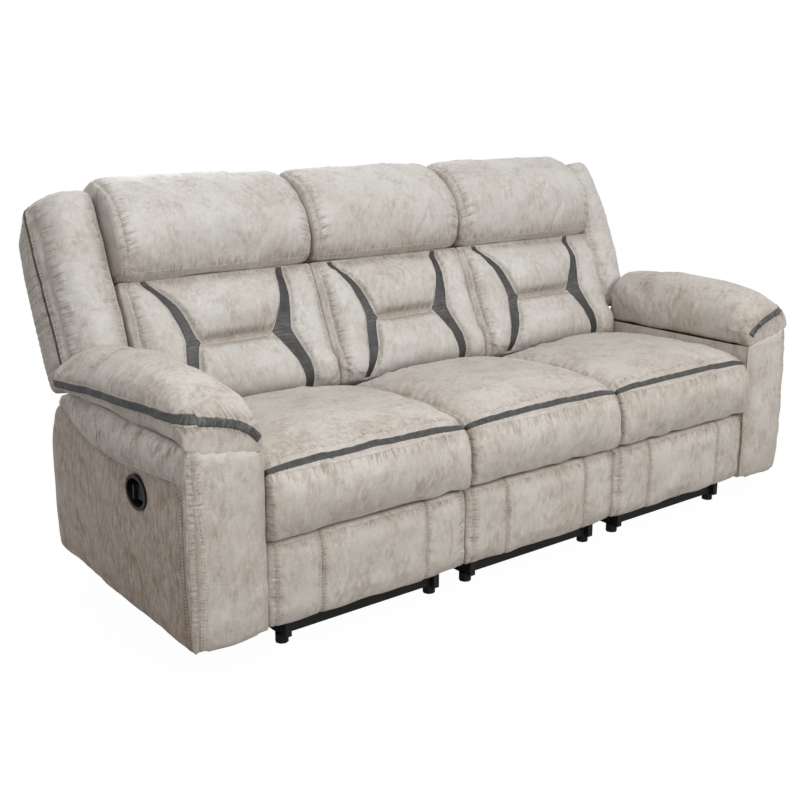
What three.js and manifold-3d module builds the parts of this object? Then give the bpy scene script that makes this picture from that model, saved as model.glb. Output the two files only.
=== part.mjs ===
// Three-seat reclining sofa: two end seats recline, the middle seat is fixed.
// Millimetres, +Z up, +X to the right seen from the front, the front faces -Y.
// The origin is on the floor, under the middle of the sofa's box.
import * as THREE from 'three';
import { mergeVertices } from 'three/addons/utils/BufferGeometryUtils.js';
import Module from 'manifold-3d';

const wasm = await Module();
wasm.setup();

// Driving sizes
const END_SEAT_WIDTH = 620;
const MIDDLE_SEAT_WIDTH = 580;
const ARM_WIDTH = 215;
const DEPTH = 1040;
const HEIGHT = 1085;
const SEAT_NOSE = 25;
const SKIRT_HEIGHT = 72;
const FOOTREST_TOP = 292;
const SEAT_FRONT_TOP = 487;
const ARM_FRAME_TOP = 515;
const BACK_LEAN = 24.2;
const BACK_THICKNESS = 213.45;
const GROOVE_HEIGHT = 460;

// The back's rear top edge lies at the rear of the sofa, and what is left in front is the seat's depth.
const LEAN = THREE.MathUtils.degToRad(BACK_LEAN);
const BACK_TOP_RISE = (HEIGHT - GROOVE_HEIGHT) / Math.cos(LEAN);
const COVER_DROP = 47;
const COVER_CROWN = 8;
const COVER_TOP_RISE = BACK_TOP_RISE - COVER_DROP;
const SEAT_DEPTH = DEPTH - SEAT_NOSE - COVER_TOP_RISE * Math.sin(LEAN)
  - (BACK_THICKNESS - COVER_CROWN) * Math.cos(LEAN);

// Clearances
const SEAT_GAP = 0.3;
const UNIT_GAP = 2;
const PIN_GAP = 0.5;
const PLANE_GAP = 2;
const OVERRUN = 2;

// Places along Y are measured back from the seats' front plane.
const FRONT = SEAT_NOSE - DEPTH / 2;
const MIDDLE_HALF = MIDDLE_SEAT_WIDTH / 2;
const END_HALF = END_SEAT_WIDTH / 2;
const END_CENTRE = MIDDLE_HALF + END_HALF;
const ARM_INNER = MIDDLE_HALF + END_SEAT_WIDTH;
const ARM_OUTER = ARM_INNER + ARM_WIDTH;

// Finishes
const suede = { color: 0xb5a89a, roughness: 0.8, metalness: 0 };
const wood = { color: 0xc49a6c, roughness: 0.75, metalness: 0 };
const steel = { color: 0x26272a, roughness: 0.45, metalness: 0.6 };
const plastic = { color: 0x17181a, roughness: 0.4, metalness: 0 };

const sofa = new THREE.Group();

function put(name, geometry, finish) {
  const mesh = new THREE.Mesh(geometry, new THREE.MeshStandardMaterial(finish));
  mesh.name = name;
  sofa.add(mesh);
  return mesh;
}

// Closed surfaces from rows of points

function volumeOf(points, faces) {
  let sum = 0;
  for (const [a, b, c] of faces) {
    sum += points[a].dot(new THREE.Vector3().crossVectors(points[b], points[c]));
  }
  return sum;
}

function closed(points, faces) {
  const outward = volumeOf(points, faces) > 0;
  const geometry = new THREE.BufferGeometry();
  const flat = points.flatMap((point) => point.toArray());
  geometry.setAttribute('position', new THREE.Float32BufferAttribute(flat, 3));
  geometry.setIndex(faces.flatMap(([a, b, c]) => (outward ? [a, b, c] : [a, c, b])));
  geometry.computeVertexNormals();
  return geometry;
}

// A padded skin: the outer and inner surface share one grid and meet in a wall round the border.
function pad(columns, rows, outer, inner) {
  const points = [];
  const faces = [];
  const across = columns.length;
  const along = rows.length;
  const layer = across * along;
  for (const surface of [outer, inner]) {
    for (const v of rows) {
      for (const u of columns) points.push(surface(u, v));
    }
  }
  const at = (j, i, inside) => inside * layer + j * across + i;
  for (let j = 0; j + 1 < along; j += 1) {
    for (let i = 0; i + 1 < across; i += 1) {
      const corners = [[j, i], [j, i + 1], [j + 1, i + 1], [j + 1, i]];
      const [a, b, c, d] = corners.map(([row, column]) => at(row, column, 0));
      const [e, f, g, h] = corners.map(([row, column]) => at(row, column, 1));
      faces.push([a, b, c], [a, c, d], [e, g, f], [e, h, g]);
    }
  }
  const border = [];
  for (let i = 0; i + 1 < across; i += 1) border.push([0, i]);
  for (let j = 0; j + 1 < along; j += 1) border.push([j, across - 1]);
  for (let i = across - 1; i > 0; i -= 1) border.push([along - 1, i]);
  for (let j = along - 1; j > 0; j -= 1) border.push([j, 0]);
  border.forEach(([j, i], k) => {
    const [nextJ, nextI] = border[(k + 1) % border.length];
    const [a, b] = [at(j, i, 0), at(nextJ, nextI, 0)];
    const [c, d] = [at(j, i, 1), at(nextJ, nextI, 1)];
    faces.push([b, a, c], [b, c, d]);
  });
  return closed(points, faces);
}

// A loft through rings of equal count, closed by a flat cap at each end.
function loft(rings, flatten) {
  const points = rings.flat();
  const count = rings[0].length;
  const faces = [];
  for (let j = 0; j + 1 < rings.length; j += 1) {
    for (let i = 0; i < count; i += 1) {
      const [a, b] = [j * count + i, j * count + ((i + 1) % count)];
      faces.push([a, b, b + count], [a, b + count, a + count]);
    }
  }
  const cap = (j, forward) => {
    const outline = rings[j].map(flatten);
    const ringSense = Math.sign(THREE.ShapeUtils.area(outline));
    for (const corners of THREE.ShapeUtils.triangulateShape(outline, [])) {
      const sense = Math.sign(THREE.ShapeUtils.area(corners.map((k) => outline[k])));
      const [a, b, c] = corners.map((k) => j * count + k);
      faces.push((sense === ringSense) === forward ? [a, b, c] : [a, c, b]);
    }
  };
  cap(0, false);
  cap(rings.length - 1, true);
  return closed(points, faces);
}

const mix = (a, b, t) => a + (b - a) * t;
const dome = (u) => 1 - u * u;

// A point list read at share v, straight between its points.
function readAlong(list, v) {
  const place = Math.min(v, 1) * (list.length - 1);
  const step = Math.min(Math.floor(place), list.length - 2);
  return list[step].map((value, k) => mix(value, list[step + 1][k], place - step));
}
const evenly = (count) => Array.from({ length: count }, (_, k) => k / (count - 1));

// Joining and cutting

function solidOf(geometry) {
  const bare = geometry.clone();
  bare.deleteAttribute('normal');
  bare.deleteAttribute('uv');
  const merged = mergeVertices(bare);
  return new wasm.Manifold(new wasm.Mesh({
    numProp: 3,
    vertProperties: new Float32Array(merged.attributes.position.array),
    triVerts: new Uint32Array(merged.index.array),
  }));
}

function geometryOf(solid) {
  const mesh = solid.getMesh();
  const geometry = new THREE.BufferGeometry();
  geometry.setAttribute('position', new THREE.BufferAttribute(mesh.vertProperties, 3));
  geometry.setIndex(new THREE.BufferAttribute(mesh.triVerts, 1));
  geometry.computeVertexNormals();
  return geometry;
}

function joined(parts, cuts = []) {
  let solid = solidOf(parts[0]);
  for (const part of parts.slice(1)) solid = solid.add(solidOf(part));
  for (const cut of cuts) solid = solid.subtract(solidOf(cut));
  return geometryOf(solid);
}

// Shapes lying along X: y is measured from the front plane, x0 and x1 are the two faces.

const ROUND_STEPS = 8;

function slab(outline, x0, x1, windows = []) {
  const shape = new THREE.Shape(outline.map(([y, z]) => new THREE.Vector2(FRONT + y, z)));
  for (const hole of windows) {
    shape.holes.push(new THREE.Path(hole.map(([y, z]) => new THREE.Vector2(FRONT + y, z))));
  }
  const geometry = new THREE.ExtrudeGeometry(shape, { depth: Math.abs(x1 - x0), bevelEnabled: false });
  // Shape axes x, y become Y, Z, and the extrusion runs along X.
  const turn = new THREE.Matrix4().makeBasis(
    new THREE.Vector3(0, 1, 0), new THREE.Vector3(0, 0, 1), new THREE.Vector3(1, 0, 0));
  geometry.applyMatrix4(turn);
  geometry.translate(Math.min(x0, x1), 0, 0);
  return geometry;
}

function rod([y, z], radius, x0, x1) {
  const geometry = new THREE.CylinderGeometry(radius, radius, Math.abs(x1 - x0), ROUND_STEPS);
  geometry.rotateZ(Math.PI / 2);
  geometry.translate((x0 + x1) / 2, FRONT + y, z);
  return geometry;
}

function box(x0, x1, y0, y1, z0, z1) {
  const geometry = new THREE.BoxGeometry(Math.abs(x1 - x0), Math.abs(y1 - y0), Math.abs(z1 - z0));
  geometry.translate((x0 + x1) / 2, FRONT + (y0 + y1) / 2, (z0 + z1) / 2);
  return geometry;
}

// A flat link with round ends between two places.
function link(from, to, half, x0, x1) {
  const heading = Math.atan2(to[1] - from[1], to[0] - from[0]);
  const outline = [];
  for (const [centre, start] of [[to, heading - Math.PI / 2], [from, heading + Math.PI / 2]]) {
    for (let k = 0; k <= ROUND_STEPS / 2; k += 1) {
      const turn = start + (k * 2 * Math.PI) / ROUND_STEPS;
      outline.push([centre[0] + half * Math.cos(turn), centre[1] + half * Math.sin(turn)]);
    }
  }
  return slab(outline, x0, x1);
}

const polar = ([y, z], length, degrees) => {
  const turn = THREE.MathUtils.degToRad(degrees);
  return [y + length * Math.cos(turn), z + length * Math.sin(turn)];
};

// Seat: the cushion wraps down over the front of the seat box.

const BOX_FRONT = 78;
const BOX_REAR = SEAT_DEPTH - 10;
const BOX_BOTTOM = 300;
const BOX_TOP = 400;
const SEAT_CROWN = 16;
const EDGE_ROLL = 14;
const SIDE_DRAW_SHARE = 0.008;
const SEAM_LIFT = 5;

// Shares of the seat's depth (of its nose where negative) and of its height above the footrest,
// from the nose to the rear.
const SEAT_SKIN_SHARES = [
  [0.03, 0.0], [-0.5, 0.07], [-1.0, 0.28], [-1.0, 0.6], [-0.6, 0.88], [0.0, 0.99],
  [0.075, 1.06], [0.25, 1.11], [0.5, 1.105], [0.75, 1.04], [0.93, 0.94], [1.0, 0.83],
];
const SEAT_CORE_SHARES = [
  [0.0, 0.0], [0.0, 0.3], [0.0, 0.65], [0.0, 0.9], [0.0, 1.0], [0.06, 1.0],
  [0.12, 1.0], [0.3, 1.0], [0.5, 1.0], [0.7, 1.0], [0.85, 1.0], [1.0, 1.0],
];
const SEAT_COLUMNS = [-1, -0.95, -0.8, -0.4, 0, 0.4, 0.8, 0.95, 1];

function seatCushion(centre, half) {
  const bottom = FOOTREST_TOP + SEAM_LIFT;
  const rise = SEAT_FRONT_TOP - bottom;
  const coreRise = BOX_TOP + SEAT_GAP - bottom;
  const coreFront = BOX_FRONT - SEAT_GAP;
  const rows = evenly(SEAT_SKIN_SHARES.length);
  const reach = (half - UNIT_GAP / 2);
  const across = (u, v) => centre + u * reach * (1 - SIDE_DRAW_SHARE * Math.sin(Math.PI * v));
  const skin = (u, v) => {
    const [depthShare, heightShare] = readAlong(SEAT_SKIN_SHARES, v);
    const roll = EDGE_ROLL * Math.abs(u) ** 8;
    const onTop = Math.sin(Math.PI * Math.max(0, v));
    const nose = v < 0.5 ? roll * onTop : 0;
    return new THREE.Vector3(
      across(u, v),
      FRONT + depthShare * (depthShare < 0 ? SEAT_NOSE : BOX_REAR) + nose,
      bottom + heightShare * rise + onTop * (SEAT_CROWN * (dome(u) - 1) - roll / 2),
    );
  };
  const core = (u, v) => {
    const [depthShare, heightShare] = readAlong(SEAT_CORE_SHARES, v);
    return new THREE.Vector3(
      across(u, v),
      FRONT + coreFront + depthShare * (BOX_REAR - coreFront),
      bottom + heightShare * coreRise,
    );
  };
  return pad(SEAT_COLUMNS, rows, skin, core);
}

// Front panels: the footrests of the end seats and the fixed panel of the middle one.

const PANEL_DEPTH = 79.7;
const PANEL_ROLL = 10;
const PANEL_SEAM_DEPTH = 4;
const LEFT_SEAM_SHARE = -0.52;
const RIGHT_SEAM_SHARE = 0.54;
const SEAM_HALF_SHARE = 0.02;
const PANEL_ROW_SHARES = [
  [0.45, 0.0], [0.12, 0.01], [0.0, 0.09], [0.0, 0.3], [0.0, 0.7], [0.02, 0.92], [0.14, 0.99], [0.45, 1.0],
];
const PANEL_COLUMNS = [-1, -0.94, ...[LEFT_SEAM_SHARE, RIGHT_SEAM_SHARE].flatMap((share) => (
  [share - SEAM_HALF_SHARE, share, share + SEAM_HALF_SHARE])), 0.94, 1];

function frontPanel(centre, half) {
  const rows = evenly(PANEL_ROW_SHARES.length);
  const reach = half - UNIT_GAP / 2;
  const rise = FOOTREST_TOP - SKIRT_HEIGHT;
  const skin = (u, v) => {
    const [depthShare, heightShare] = readAlong(PANEL_ROW_SHARES, v);
    const onSeam = [LEFT_SEAM_SHARE, RIGHT_SEAM_SHARE].includes(u) ? PANEL_SEAM_DEPTH : 0;
    const back = depthShare * PANEL_DEPTH + PANEL_ROLL * Math.abs(u) ** 10 + onSeam;
    return new THREE.Vector3(centre + u * reach, FRONT + back, SKIRT_HEIGHT + heightShare * rise);
  };
  const rear = (u, v) => new THREE.Vector3(
    centre + u * reach, FRONT + PANEL_DEPTH, SKIRT_HEIGHT + readAlong(PANEL_ROW_SHARES, v)[1] * rise);
  return pad(PANEL_COLUMNS, rows, skin, rear);
}

// Back: places are given along the lean from the seat groove, and forward of the groove line.

const GROOVE = [SEAT_DEPTH, GROOVE_HEIGHT];
const alongBack = (rise, forward) => [
  GROOVE[0] + rise * Math.sin(LEAN) - forward * Math.cos(LEAN),
  GROOVE[1] + rise * Math.cos(LEAN) + forward * Math.sin(LEAN),
];
const riseTo = (height, forward) => (height - GROOVE[1] - forward * Math.sin(LEAN)) / Math.cos(LEAN);
const backPoint = (x, rise, forward) => {
  const [y, z] = alongBack(rise, forward);
  return new THREE.Vector3(x, FRONT + y, z);
};
const BACK_REAR = -BACK_THICKNESS;
const FRAME_FRONT = -60;
const COVER_THICKNESS = 31;
const FRAME_REAR = BACK_REAR + COVER_THICKNESS;
const CUSHION_FOOT = 10;
const HEADREST_FOOT_SHARE = 0.57;
const HEADREST_FOOT = BACK_TOP_RISE * HEADREST_FOOT_SHARE;
const CUSHION_BULGE = 34;
const CUSHION_SEAM_DEPTH = 22;
const STRIP_DEPTH = 9;

// Strips: place of the outer and inner edge from the middle, as shares of the half width.
const STRIP_OUTER_ENDS_SHARE = 0.72;
const STRIP_OUTER_WAIST_SHARE = 0.56;
const STRIP_INNER_ENDS_SHARE = 0.66;
const STRIP_INNER_WAIST_SHARE = 0.42;
const CUSHION_ROW_SHARES = [0, 0.05, 0.18, 0.33, 0.45, 0.49, 0.53, 0.66, 0.81, 0.95, 1];
const WAIST_SHARE = 0.49;
const WAIST_POWER = 0.8;
const SEAM_REACH_SHARE = 0.1;
const CUSHION_EDGE_SHARE = 0.35;
const CUSHION_DOME_SHARE = 0.65;
const CUSHION_COLUMN_NAMES = [
  'edge', 'roll', 'bolster', 'outer', 'inner', 'pillow', 'middle'];

function cushionColumn(column, v) {
  const waist = 1 - Math.min(1, Math.abs(v - WAIST_SHARE) / WAIST_SHARE) ** WAIST_POWER;
  const outer = mix(STRIP_OUTER_ENDS_SHARE, STRIP_OUTER_WAIST_SHARE, waist);
  const inner = mix(STRIP_INNER_ENDS_SHARE, STRIP_INNER_WAIST_SHARE, waist);
  const places = [1, 0.95, (1 + outer) / 2, outer, inner, inner / 2, 0];
  return places[column];
}

function backCushion(centre, half) {
  const reach = half - UNIT_GAP / 2;
  const last = CUSHION_COLUMN_NAMES.length - 1;
  const columns = Array.from({ length: 2 * last + 1 }, (_, k) => k - last);
  const strip = [CUSHION_COLUMN_NAMES.indexOf('outer'), CUSHION_COLUMN_NAMES.indexOf('inner')];
  const x = (k, v) => centre + Math.sign(k) * reach * cushionColumn(last - Math.abs(k), v);
  const foot = CUSHION_FOOT;
  const top = HEADREST_FOOT - UNIT_GAP;
  const skin = (k, v) => {
    const column = last - Math.abs(k);
    const share = cushionColumn(column, v);
    const ends = 1 - Math.abs(2 * v - 1) ** 6;
    const inPillow = column > strip[1];
    const nearWaist = Math.max(0, 1 - Math.abs(v - WAIST_SHARE) / SEAM_REACH_SHARE);
    const seam = inPillow ? CUSHION_SEAM_DEPTH * nearWaist : 0;
    const sunk = strip.includes(column) ? STRIP_DEPTH : 0;
    const bulge = CUSHION_BULGE * (CUSHION_EDGE_SHARE + CUSHION_DOME_SHARE * dome(share));
    const forward = ends * (bulge - seam - sunk);
    return backPoint(x(k, v), mix(foot, top, v), forward * (column === 0 ? 0 : 1));
  };
  const rear = (k, v) => backPoint(x(k, v), mix(foot, top, v), FRAME_FRONT + SEAT_GAP);
  return pad(columns, CUSHION_ROW_SHARES, skin, rear);
}

// Headrest roll: a pillow that folds over the top of the back frame.

const FRAME_TOP_RISE = COVER_TOP_RISE + UNIT_GAP;
const HEADREST_BULGE = 34;
const HEADREST_TOP_FORWARD_SHARE = -1.2;
const HEADREST_TOP_RISE = riseTo(HEIGHT, HEADREST_TOP_FORWARD_SHARE * HEADREST_BULGE);
const HEADREST_COLUMNS = [-1, -0.96, -0.82, -0.4, 0, 0.4, 0.82, 0.96, 1];
// Shares of the roll's rise, and forward of the groove line as shares of its bulge.
const HEADREST_SKIN_SHARES = [
  [0.0, 0.0], [0.05, 0.95], [0.2, 1.75], [0.45, 2.05], [0.68, 1.7], [0.84, 0.9], [0.94, -0.2],
  [1.0, -1.2], [1.0, -2.6], [0.97, -4.0], [0.92, -4.9], [0.87, -5.4],
];
const HEADREST_REAR_CLEARANCE = 4;

const FALL_END_SHARE = 0.6;
const FALL_DEPTH_SHARE = 0.8;

function headrest(centre, half) {
  const reach = half - UNIT_GAP / 2;
  const rise = HEADREST_TOP_RISE - HEADREST_FOOT;
  const frameTop = FRAME_TOP_RISE + SEAT_GAP;
  const frontFace = FRAME_FRONT + SEAT_GAP;
  const rearFace = FRAME_REAR - HEADREST_REAR_CLEARANCE;
  const core = [
    [HEADREST_FOOT, frontFace], [mix(HEADREST_FOOT, frameTop, 0.25), frontFace],
    [mix(HEADREST_FOOT, frameTop, 0.5), frontFace], [mix(HEADREST_FOOT, frameTop, 0.75), frontFace],
    [mix(HEADREST_FOOT, frameTop, 0.9), frontFace], [frameTop, frontFace],
    [frameTop, mix(frontFace, rearFace, 0.15)], [frameTop, mix(frontFace, rearFace, 0.35)],
    [frameTop, mix(frontFace, rearFace, 0.55)], [frameTop, mix(frontFace, rearFace, 0.75)],
    [frameTop, mix(frontFace, rearFace, 0.88)], [frameTop, mix(frontFace, rearFace, 0.97)],
  ];
  const across = (u, v) => centre + u * reach * (1 - SIDE_DRAW_SHARE * Math.sin(Math.PI * v));
  const skin = (u, v) => {
    const [riseShare, forwardShare] = readAlong(HEADREST_SKIN_SHARES, v);
    const fall = Math.abs(u) ** 6 * Math.sin(Math.PI * v);
    return backPoint(
      across(u, v),
      Math.max(HEADREST_FOOT + riseShare * rise - fall * HEADREST_BULGE * Math.max(0, v - 0.3), HEADREST_FOOT),
      forwardShare * HEADREST_BULGE - (v < FALL_END_SHARE ? fall * HEADREST_BULGE * FALL_DEPTH_SHARE : 0),
    );
  };
  const inside = (u, v) => backPoint(across(u, v), ...readAlong(core, v));
  return pad(HEADREST_COLUMNS, evenly(HEADREST_SKIN_SHARES.length), skin, inside);
}

// Back cover: a thin crowned panel over the rear of the back frame.

const COVER_FOOT_RISE = -120;
const COVER_ROW_SHARES = [0, 0.04, 0.3, 0.7, 0.96, 1];
const COVER_COLUMNS = [-1, -0.95, -0.5, 0, 0.5, 0.95, 1];

function backCover(centre, half) {
  const reach = half - UNIT_GAP / 2;
  const rise = (v) => mix(COVER_FOOT_RISE, COVER_TOP_RISE, v);
  const edge = (u, v) => Math.max(Math.abs(u) ** 20, Math.abs(2 * v - 1) ** 20) * COVER_CROWN;
  const skin = (u, v) => backPoint(centre + u * reach, rise(v), BACK_REAR + edge(u, v));
  const front = (u, v) => backPoint(centre + u * reach, rise(v), FRAME_REAR - SEAT_GAP);
  return pad(COVER_COLUMNS, COVER_ROW_SHARES, skin, front);
}

// Recline hinge and the back frame: a wooden ladder frame, narrow at its foot between the hinges.

const HINGE_RISE = -72;
const HINGE_FORWARD = -150;
const HINGE = alongBack(HINGE_RISE, HINGE_FORWARD);
const HINGE_PIN = 6;
const HINGE_EAR = 17;
const HINGE_PIN_REACH = 24;
const PLATE_THICKNESS = 4;
const PLATE_INSET = 84;
const PLATE_INNER = END_HALF - PLATE_INSET;
const FRAME_FOOT_RISE = -125;
const FRAME_SHOULDER_RISE = -20;
const FRAME_EDGE_GAP = 0.6;
const WINDOW_RAIL = 62;
const WINDOW_ROWS = 3;
const WINDOW_COLUMNS = 3;

// The frame is drawn across the sofa and extruded from its rear face to its front face.
function leaned(shape, rear, front, centre) {
  const geometry = new THREE.ExtrudeGeometry(shape, { depth: front - rear, bevelEnabled: false });
  const [baseY, baseZ] = alongBack(0, rear);
  const rise = new THREE.Vector3(0, Math.sin(LEAN), Math.cos(LEAN));
  const forward = new THREE.Vector3(0, -Math.cos(LEAN), Math.sin(LEAN));
  geometry.applyMatrix4(new THREE.Matrix4().makeBasis(new THREE.Vector3(1, 0, 0), rise, forward));
  geometry.translate(centre, FRONT + baseY, baseZ);
  return geometry;
}

function pathOf(corners, PathType) {
  return new PathType(corners.map(([x, y]) => new THREE.Vector2(x, y)));
}

function windowGrid(x0, x1, y0, y1, columns, rows, rail) {
  const width = (x1 - x0 - rail * (columns + 1)) / columns;
  const height = (y1 - y0 - rail * (rows + 1)) / rows;
  const windows = [];
  for (let i = 0; i < columns; i += 1) {
    for (let j = 0; j < rows; j += 1) {
      const left = x0 + rail + i * (width + rail);
      const low = y0 + rail + j * (height + rail);
      windows.push(pathOf([
        [left, low], [left + width, low], [left + width, low + height], [left, low + height],
      ], THREE.Shape));
    }
  }
  return windows;
}

function backFrame(centre, half) {
  const wide = half - FRAME_EDGE_GAP;
  const narrow = (centre === 0 ? MIDDLE_RAIL_INNER : PLATE_INNER) - PLANE_GAP / 2;
  const shape = pathOf([
    [-narrow, FRAME_FOOT_RISE], [narrow, FRAME_FOOT_RISE], [narrow, FRAME_SHOULDER_RISE],
    [wide, FRAME_SHOULDER_RISE], [wide, FRAME_TOP_RISE], [-wide, FRAME_TOP_RISE],
    [-wide, FRAME_SHOULDER_RISE], [-narrow, FRAME_SHOULDER_RISE],
  ], THREE.Shape);
  const board = leaned(shape, FRAME_REAR, FRAME_FRONT, centre);
  const windows = windowGrid(
    -wide, wide, FRAME_SHOULDER_RISE, FRAME_TOP_RISE, WINDOW_COLUMNS, WINDOW_ROWS, WINDOW_RAIL,
  ).map((window) => leaned(window, FRAME_REAR - OVERRUN, FRAME_FRONT + OVERRUN, centre));
  const bore = HINGE_PIN + PIN_GAP;
  const depth = HINGE_PIN_REACH + OVERRUN;
  const bores = [-1, 1].map((side) => rod(
    HINGE, bore, centre + side * (narrow - depth), centre + side * (narrow + OVERRUN)));
  return joined([board], [...windows, ...bores]);
}

// Wing: the padded outer side of an end back, with the flat outer panel behind its front roll.

const WING_FOOT_RISE = 150;
const WING_STANDING = 17;
const WING_TOP_RISE = COVER_TOP_RISE + WING_STANDING;
const WING_OUTER = 30;
const WING_STATIONS = [
  [0.0, 0.94], [0.03, 0.985], [0.15, 1.0], [0.4, 1.0], [0.7, 0.99], [0.9, 0.96], [0.97, 0.9], [1.0, 0.78]];
// Section shares: across the wing's width from its inner face, and forward from its rear.
const WING_SECTION_SHARES = [
  [0.0, 0.0], [0.0, 0.82], [0.05, 0.95], [0.22, 1.0], [0.5, 0.97], [0.72, 0.86], [0.9, 0.66],
  [1.0, 0.47], [0.975, 0.4], [0.96, 0.1], [0.92, 0.03], [0.8, 0.0],
];
const WING_FRONT = 6;
const WING_REAR_DROP = 60;

function wing(side) {
  const inner = ARM_INNER + SEAT_GAP - UNIT_GAP / 2 + FRAME_EDGE_GAP;
  const width = ARM_OUTER - WING_OUTER - inner;
  const rings = WING_STATIONS.map(([riseShare, size]) => WING_SECTION_SHARES.map(([xShare, forwardShare]) => {
    const xSize = 1 - (1 - size) * xShare;
    const x = side * (inner + xShare * xSize * width);
    const middle = 0.45;
    const share = xShare === 0 && forwardShare === 0 ? 0 : middle + (forwardShare - middle) * size;
    const forward = mix(BACK_REAR, WING_FRONT, Math.max(share, 0));
    const drop = WING_REAR_DROP * Math.max(0, 1 - forwardShare / 0.4) * Math.max(0, riseShare - 0.15);
    return backPoint(x, mix(WING_FOOT_RISE, WING_TOP_RISE, riseShare) - drop, forward);
  }));
  return loft(rings, (point) => new THREE.Vector2(point.x, point.y));
}

// Arms: wooden frame, padded side and front panels, and the pad on top.

const ARM_REAR_INSET = 209;
const ARM_REAR = DEPTH - ARM_REAR_INSET;
const ARM_REAR_ROUND = 70;
const ARM_REAR_TOP = 486;
const ARM_TAPER = 27;
const SIDE_THICKNESS = 28;
const SIDE_TOP = 545;
const SIDE_FRONT = 12;
const SIDE_CROWN = 6;
const ARM_BOARD = 18;
const ARM_FRONT_POST = 40;
const ARM_FRONT_PANEL = 34;
const ARM_FACE_GAP = 1;

const SIDE_ROW_SHARES = [0, 0.03, 0.12, 0.35, 0.65, 0.88, 0.97, 1];
const SIDE_COLUMN_SHARES = [0, 0.02, 0.1, 0.35, 0.65, 0.85, 0.93, 1];

// Height of the side panel's top edge, level under the pad and falling to the rear.
function sideTop(y) {
  const level = THREE.MathUtils.clamp((y - PAD_REAR) / (ARM_REAR - ARM_REAR_ROUND - PAD_REAR), 0, 1);
  const fall = mix(SIDE_TOP, ARM_REAR_TOP, level);
  const inRound = Math.max(0, y - (ARM_REAR - ARM_REAR_ROUND));
  return fall - ARM_REAR_ROUND + Math.sqrt(Math.max(0, ARM_REAR_ROUND ** 2 - inRound ** 2));
}

function armSidePanel(side) {
  const yAt = (u) => mix(SIDE_FRONT, ARM_REAR, u);
  const zAt = (u, v) => mix(SKIRT_HEIGHT, sideTop(yAt(u)), v);
  const rim = (u, v) => Math.max(Math.abs(2 * u - 1) ** 16, Math.abs(2 * v - 1) ** 16);
  const outer = (u, v) => {
    const x = ARM_OUTER - ARM_TAPER * u - SIDE_CROWN * (2 * v - 1) ** 2 - rim(u, v) * SIDE_THICKNESS * 0.5;
    return new THREE.Vector3(side * x, FRONT + yAt(u), zAt(u, v));
  };
  const inner = (u, v) => new THREE.Vector3(
    side * (ARM_OUTER - ARM_TAPER * u - SIDE_THICKNESS), FRONT + yAt(u), zAt(u, v));
  const panel = pad(SIDE_COLUMN_SHARES, SIDE_ROW_SHARES, outer, inner);
  const outside = ARM_OUTER + OVERRUN;
  const flangeFace = ARM_OUTER - HANDLE_SINK - SEAT_GAP;
  return joined([panel], [
    handleOval(side, HANDLE_BODY + SEAT_GAP, ARM_OUTER - ARM_WIDTH / 2, outside),
    handleOval(side, SEAT_GAP, flangeFace, outside)]);
}

const ARM_FRONT_RIM_SHARE = 0.35;

function armFrontPanel(side) {
  const innerX = ARM_INNER + ARM_FACE_GAP;
  const outerX = ARM_OUTER - SIDE_THICKNESS / 2;
  const rim = (u, v) => Math.max(Math.abs(2 * u - 1) ** 12, Math.abs(2 * v - 1) ** 12);
  const xAt = (u, v) => side * mix(innerX, outerX - SIDE_CROWN * (2 * v - 1) ** 2, u);
  const place = (u, v, y) => {
    const x = xAt(u, v);
    return new THREE.Vector3(x, FRONT + y, mix(SKIRT_HEIGHT, underPad(Math.abs(x), ARM_FRAME_TOP), v));
  };
  const front = (u, v) => place(
    u, v, rim(u, v) * ARM_FRONT_PANEL * ARM_FRONT_RIM_SHARE - SIDE_CROWN * dome(2 * u - 1));
  const rear = (u, v) => place(u, v, SIDE_FRONT - SEAT_GAP);
  return pad(SIDE_COLUMN_SHARES, SIDE_ROW_SHARES, front, rear);
}

// The frame is an I in plan: a board along the arm between a front and a rear post.
function armFrame(side) {
  const innerX = ARM_INNER + ARM_FACE_GAP;
  const frontY = SIDE_FRONT + SEAT_GAP;
  const rearY = ARM_REAR - ARM_REAR_ROUND;
  const outerAt = (y) =>
    ARM_OUTER - ARM_TAPER * ((y - SIDE_FRONT) / (ARM_REAR - SIDE_FRONT)) - SIDE_THICKNESS - SEAT_GAP;
  const middle = (innerX + outerAt(ARM_REAR)) / 2;
  const rearTop = ARM_REAR_TOP - UNIT_GAP;
  const shape = pathOf([
    [innerX, frontY], [outerAt(frontY), frontY],
    [outerAt(frontY + ARM_FRONT_POST), frontY + ARM_FRONT_POST],
    [middle + ARM_BOARD / 2, frontY + ARM_FRONT_POST], [middle + ARM_BOARD / 2, rearY - ARM_FRONT_POST],
    [outerAt(rearY - ARM_FRONT_POST), rearY - ARM_FRONT_POST], [outerAt(rearY), rearY],
    [innerX, rearY], [innerX, rearY - ARM_FRONT_POST],
    [middle - ARM_BOARD / 2, rearY - ARM_FRONT_POST], [middle - ARM_BOARD / 2, frontY + ARM_FRONT_POST],
    [innerX, frontY + ARM_FRONT_POST],
  ], THREE.Shape);
  const geometry = new THREE.ExtrudeGeometry(shape, {
    depth: ARM_FRAME_TOP - SKIRT_HEIGHT - UNIT_GAP, bevelEnabled: false });
  geometry.translate(0, FRONT, SKIRT_HEIGHT + UNIT_GAP);
  if (side < 0) geometry.rotateY(Math.PI).translate(0, 0, ARM_FRAME_TOP + SKIRT_HEIGHT + UNIT_GAP);
  const notch = box(side * innerX, side * ARM_OUTER, PAD_REAR, ARM_REAR, rearTop, ARM_FRAME_TOP + OVERRUN);
  const bore = rod(
    [CABLE_EXIT_BACK, CABLE_EXIT_HEIGHT], CABLE_BORE, side * (innerX + ARM_BOARD), side * ARM_OUTER);
  return joined([geometry], [notch, bore]);
}

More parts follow.
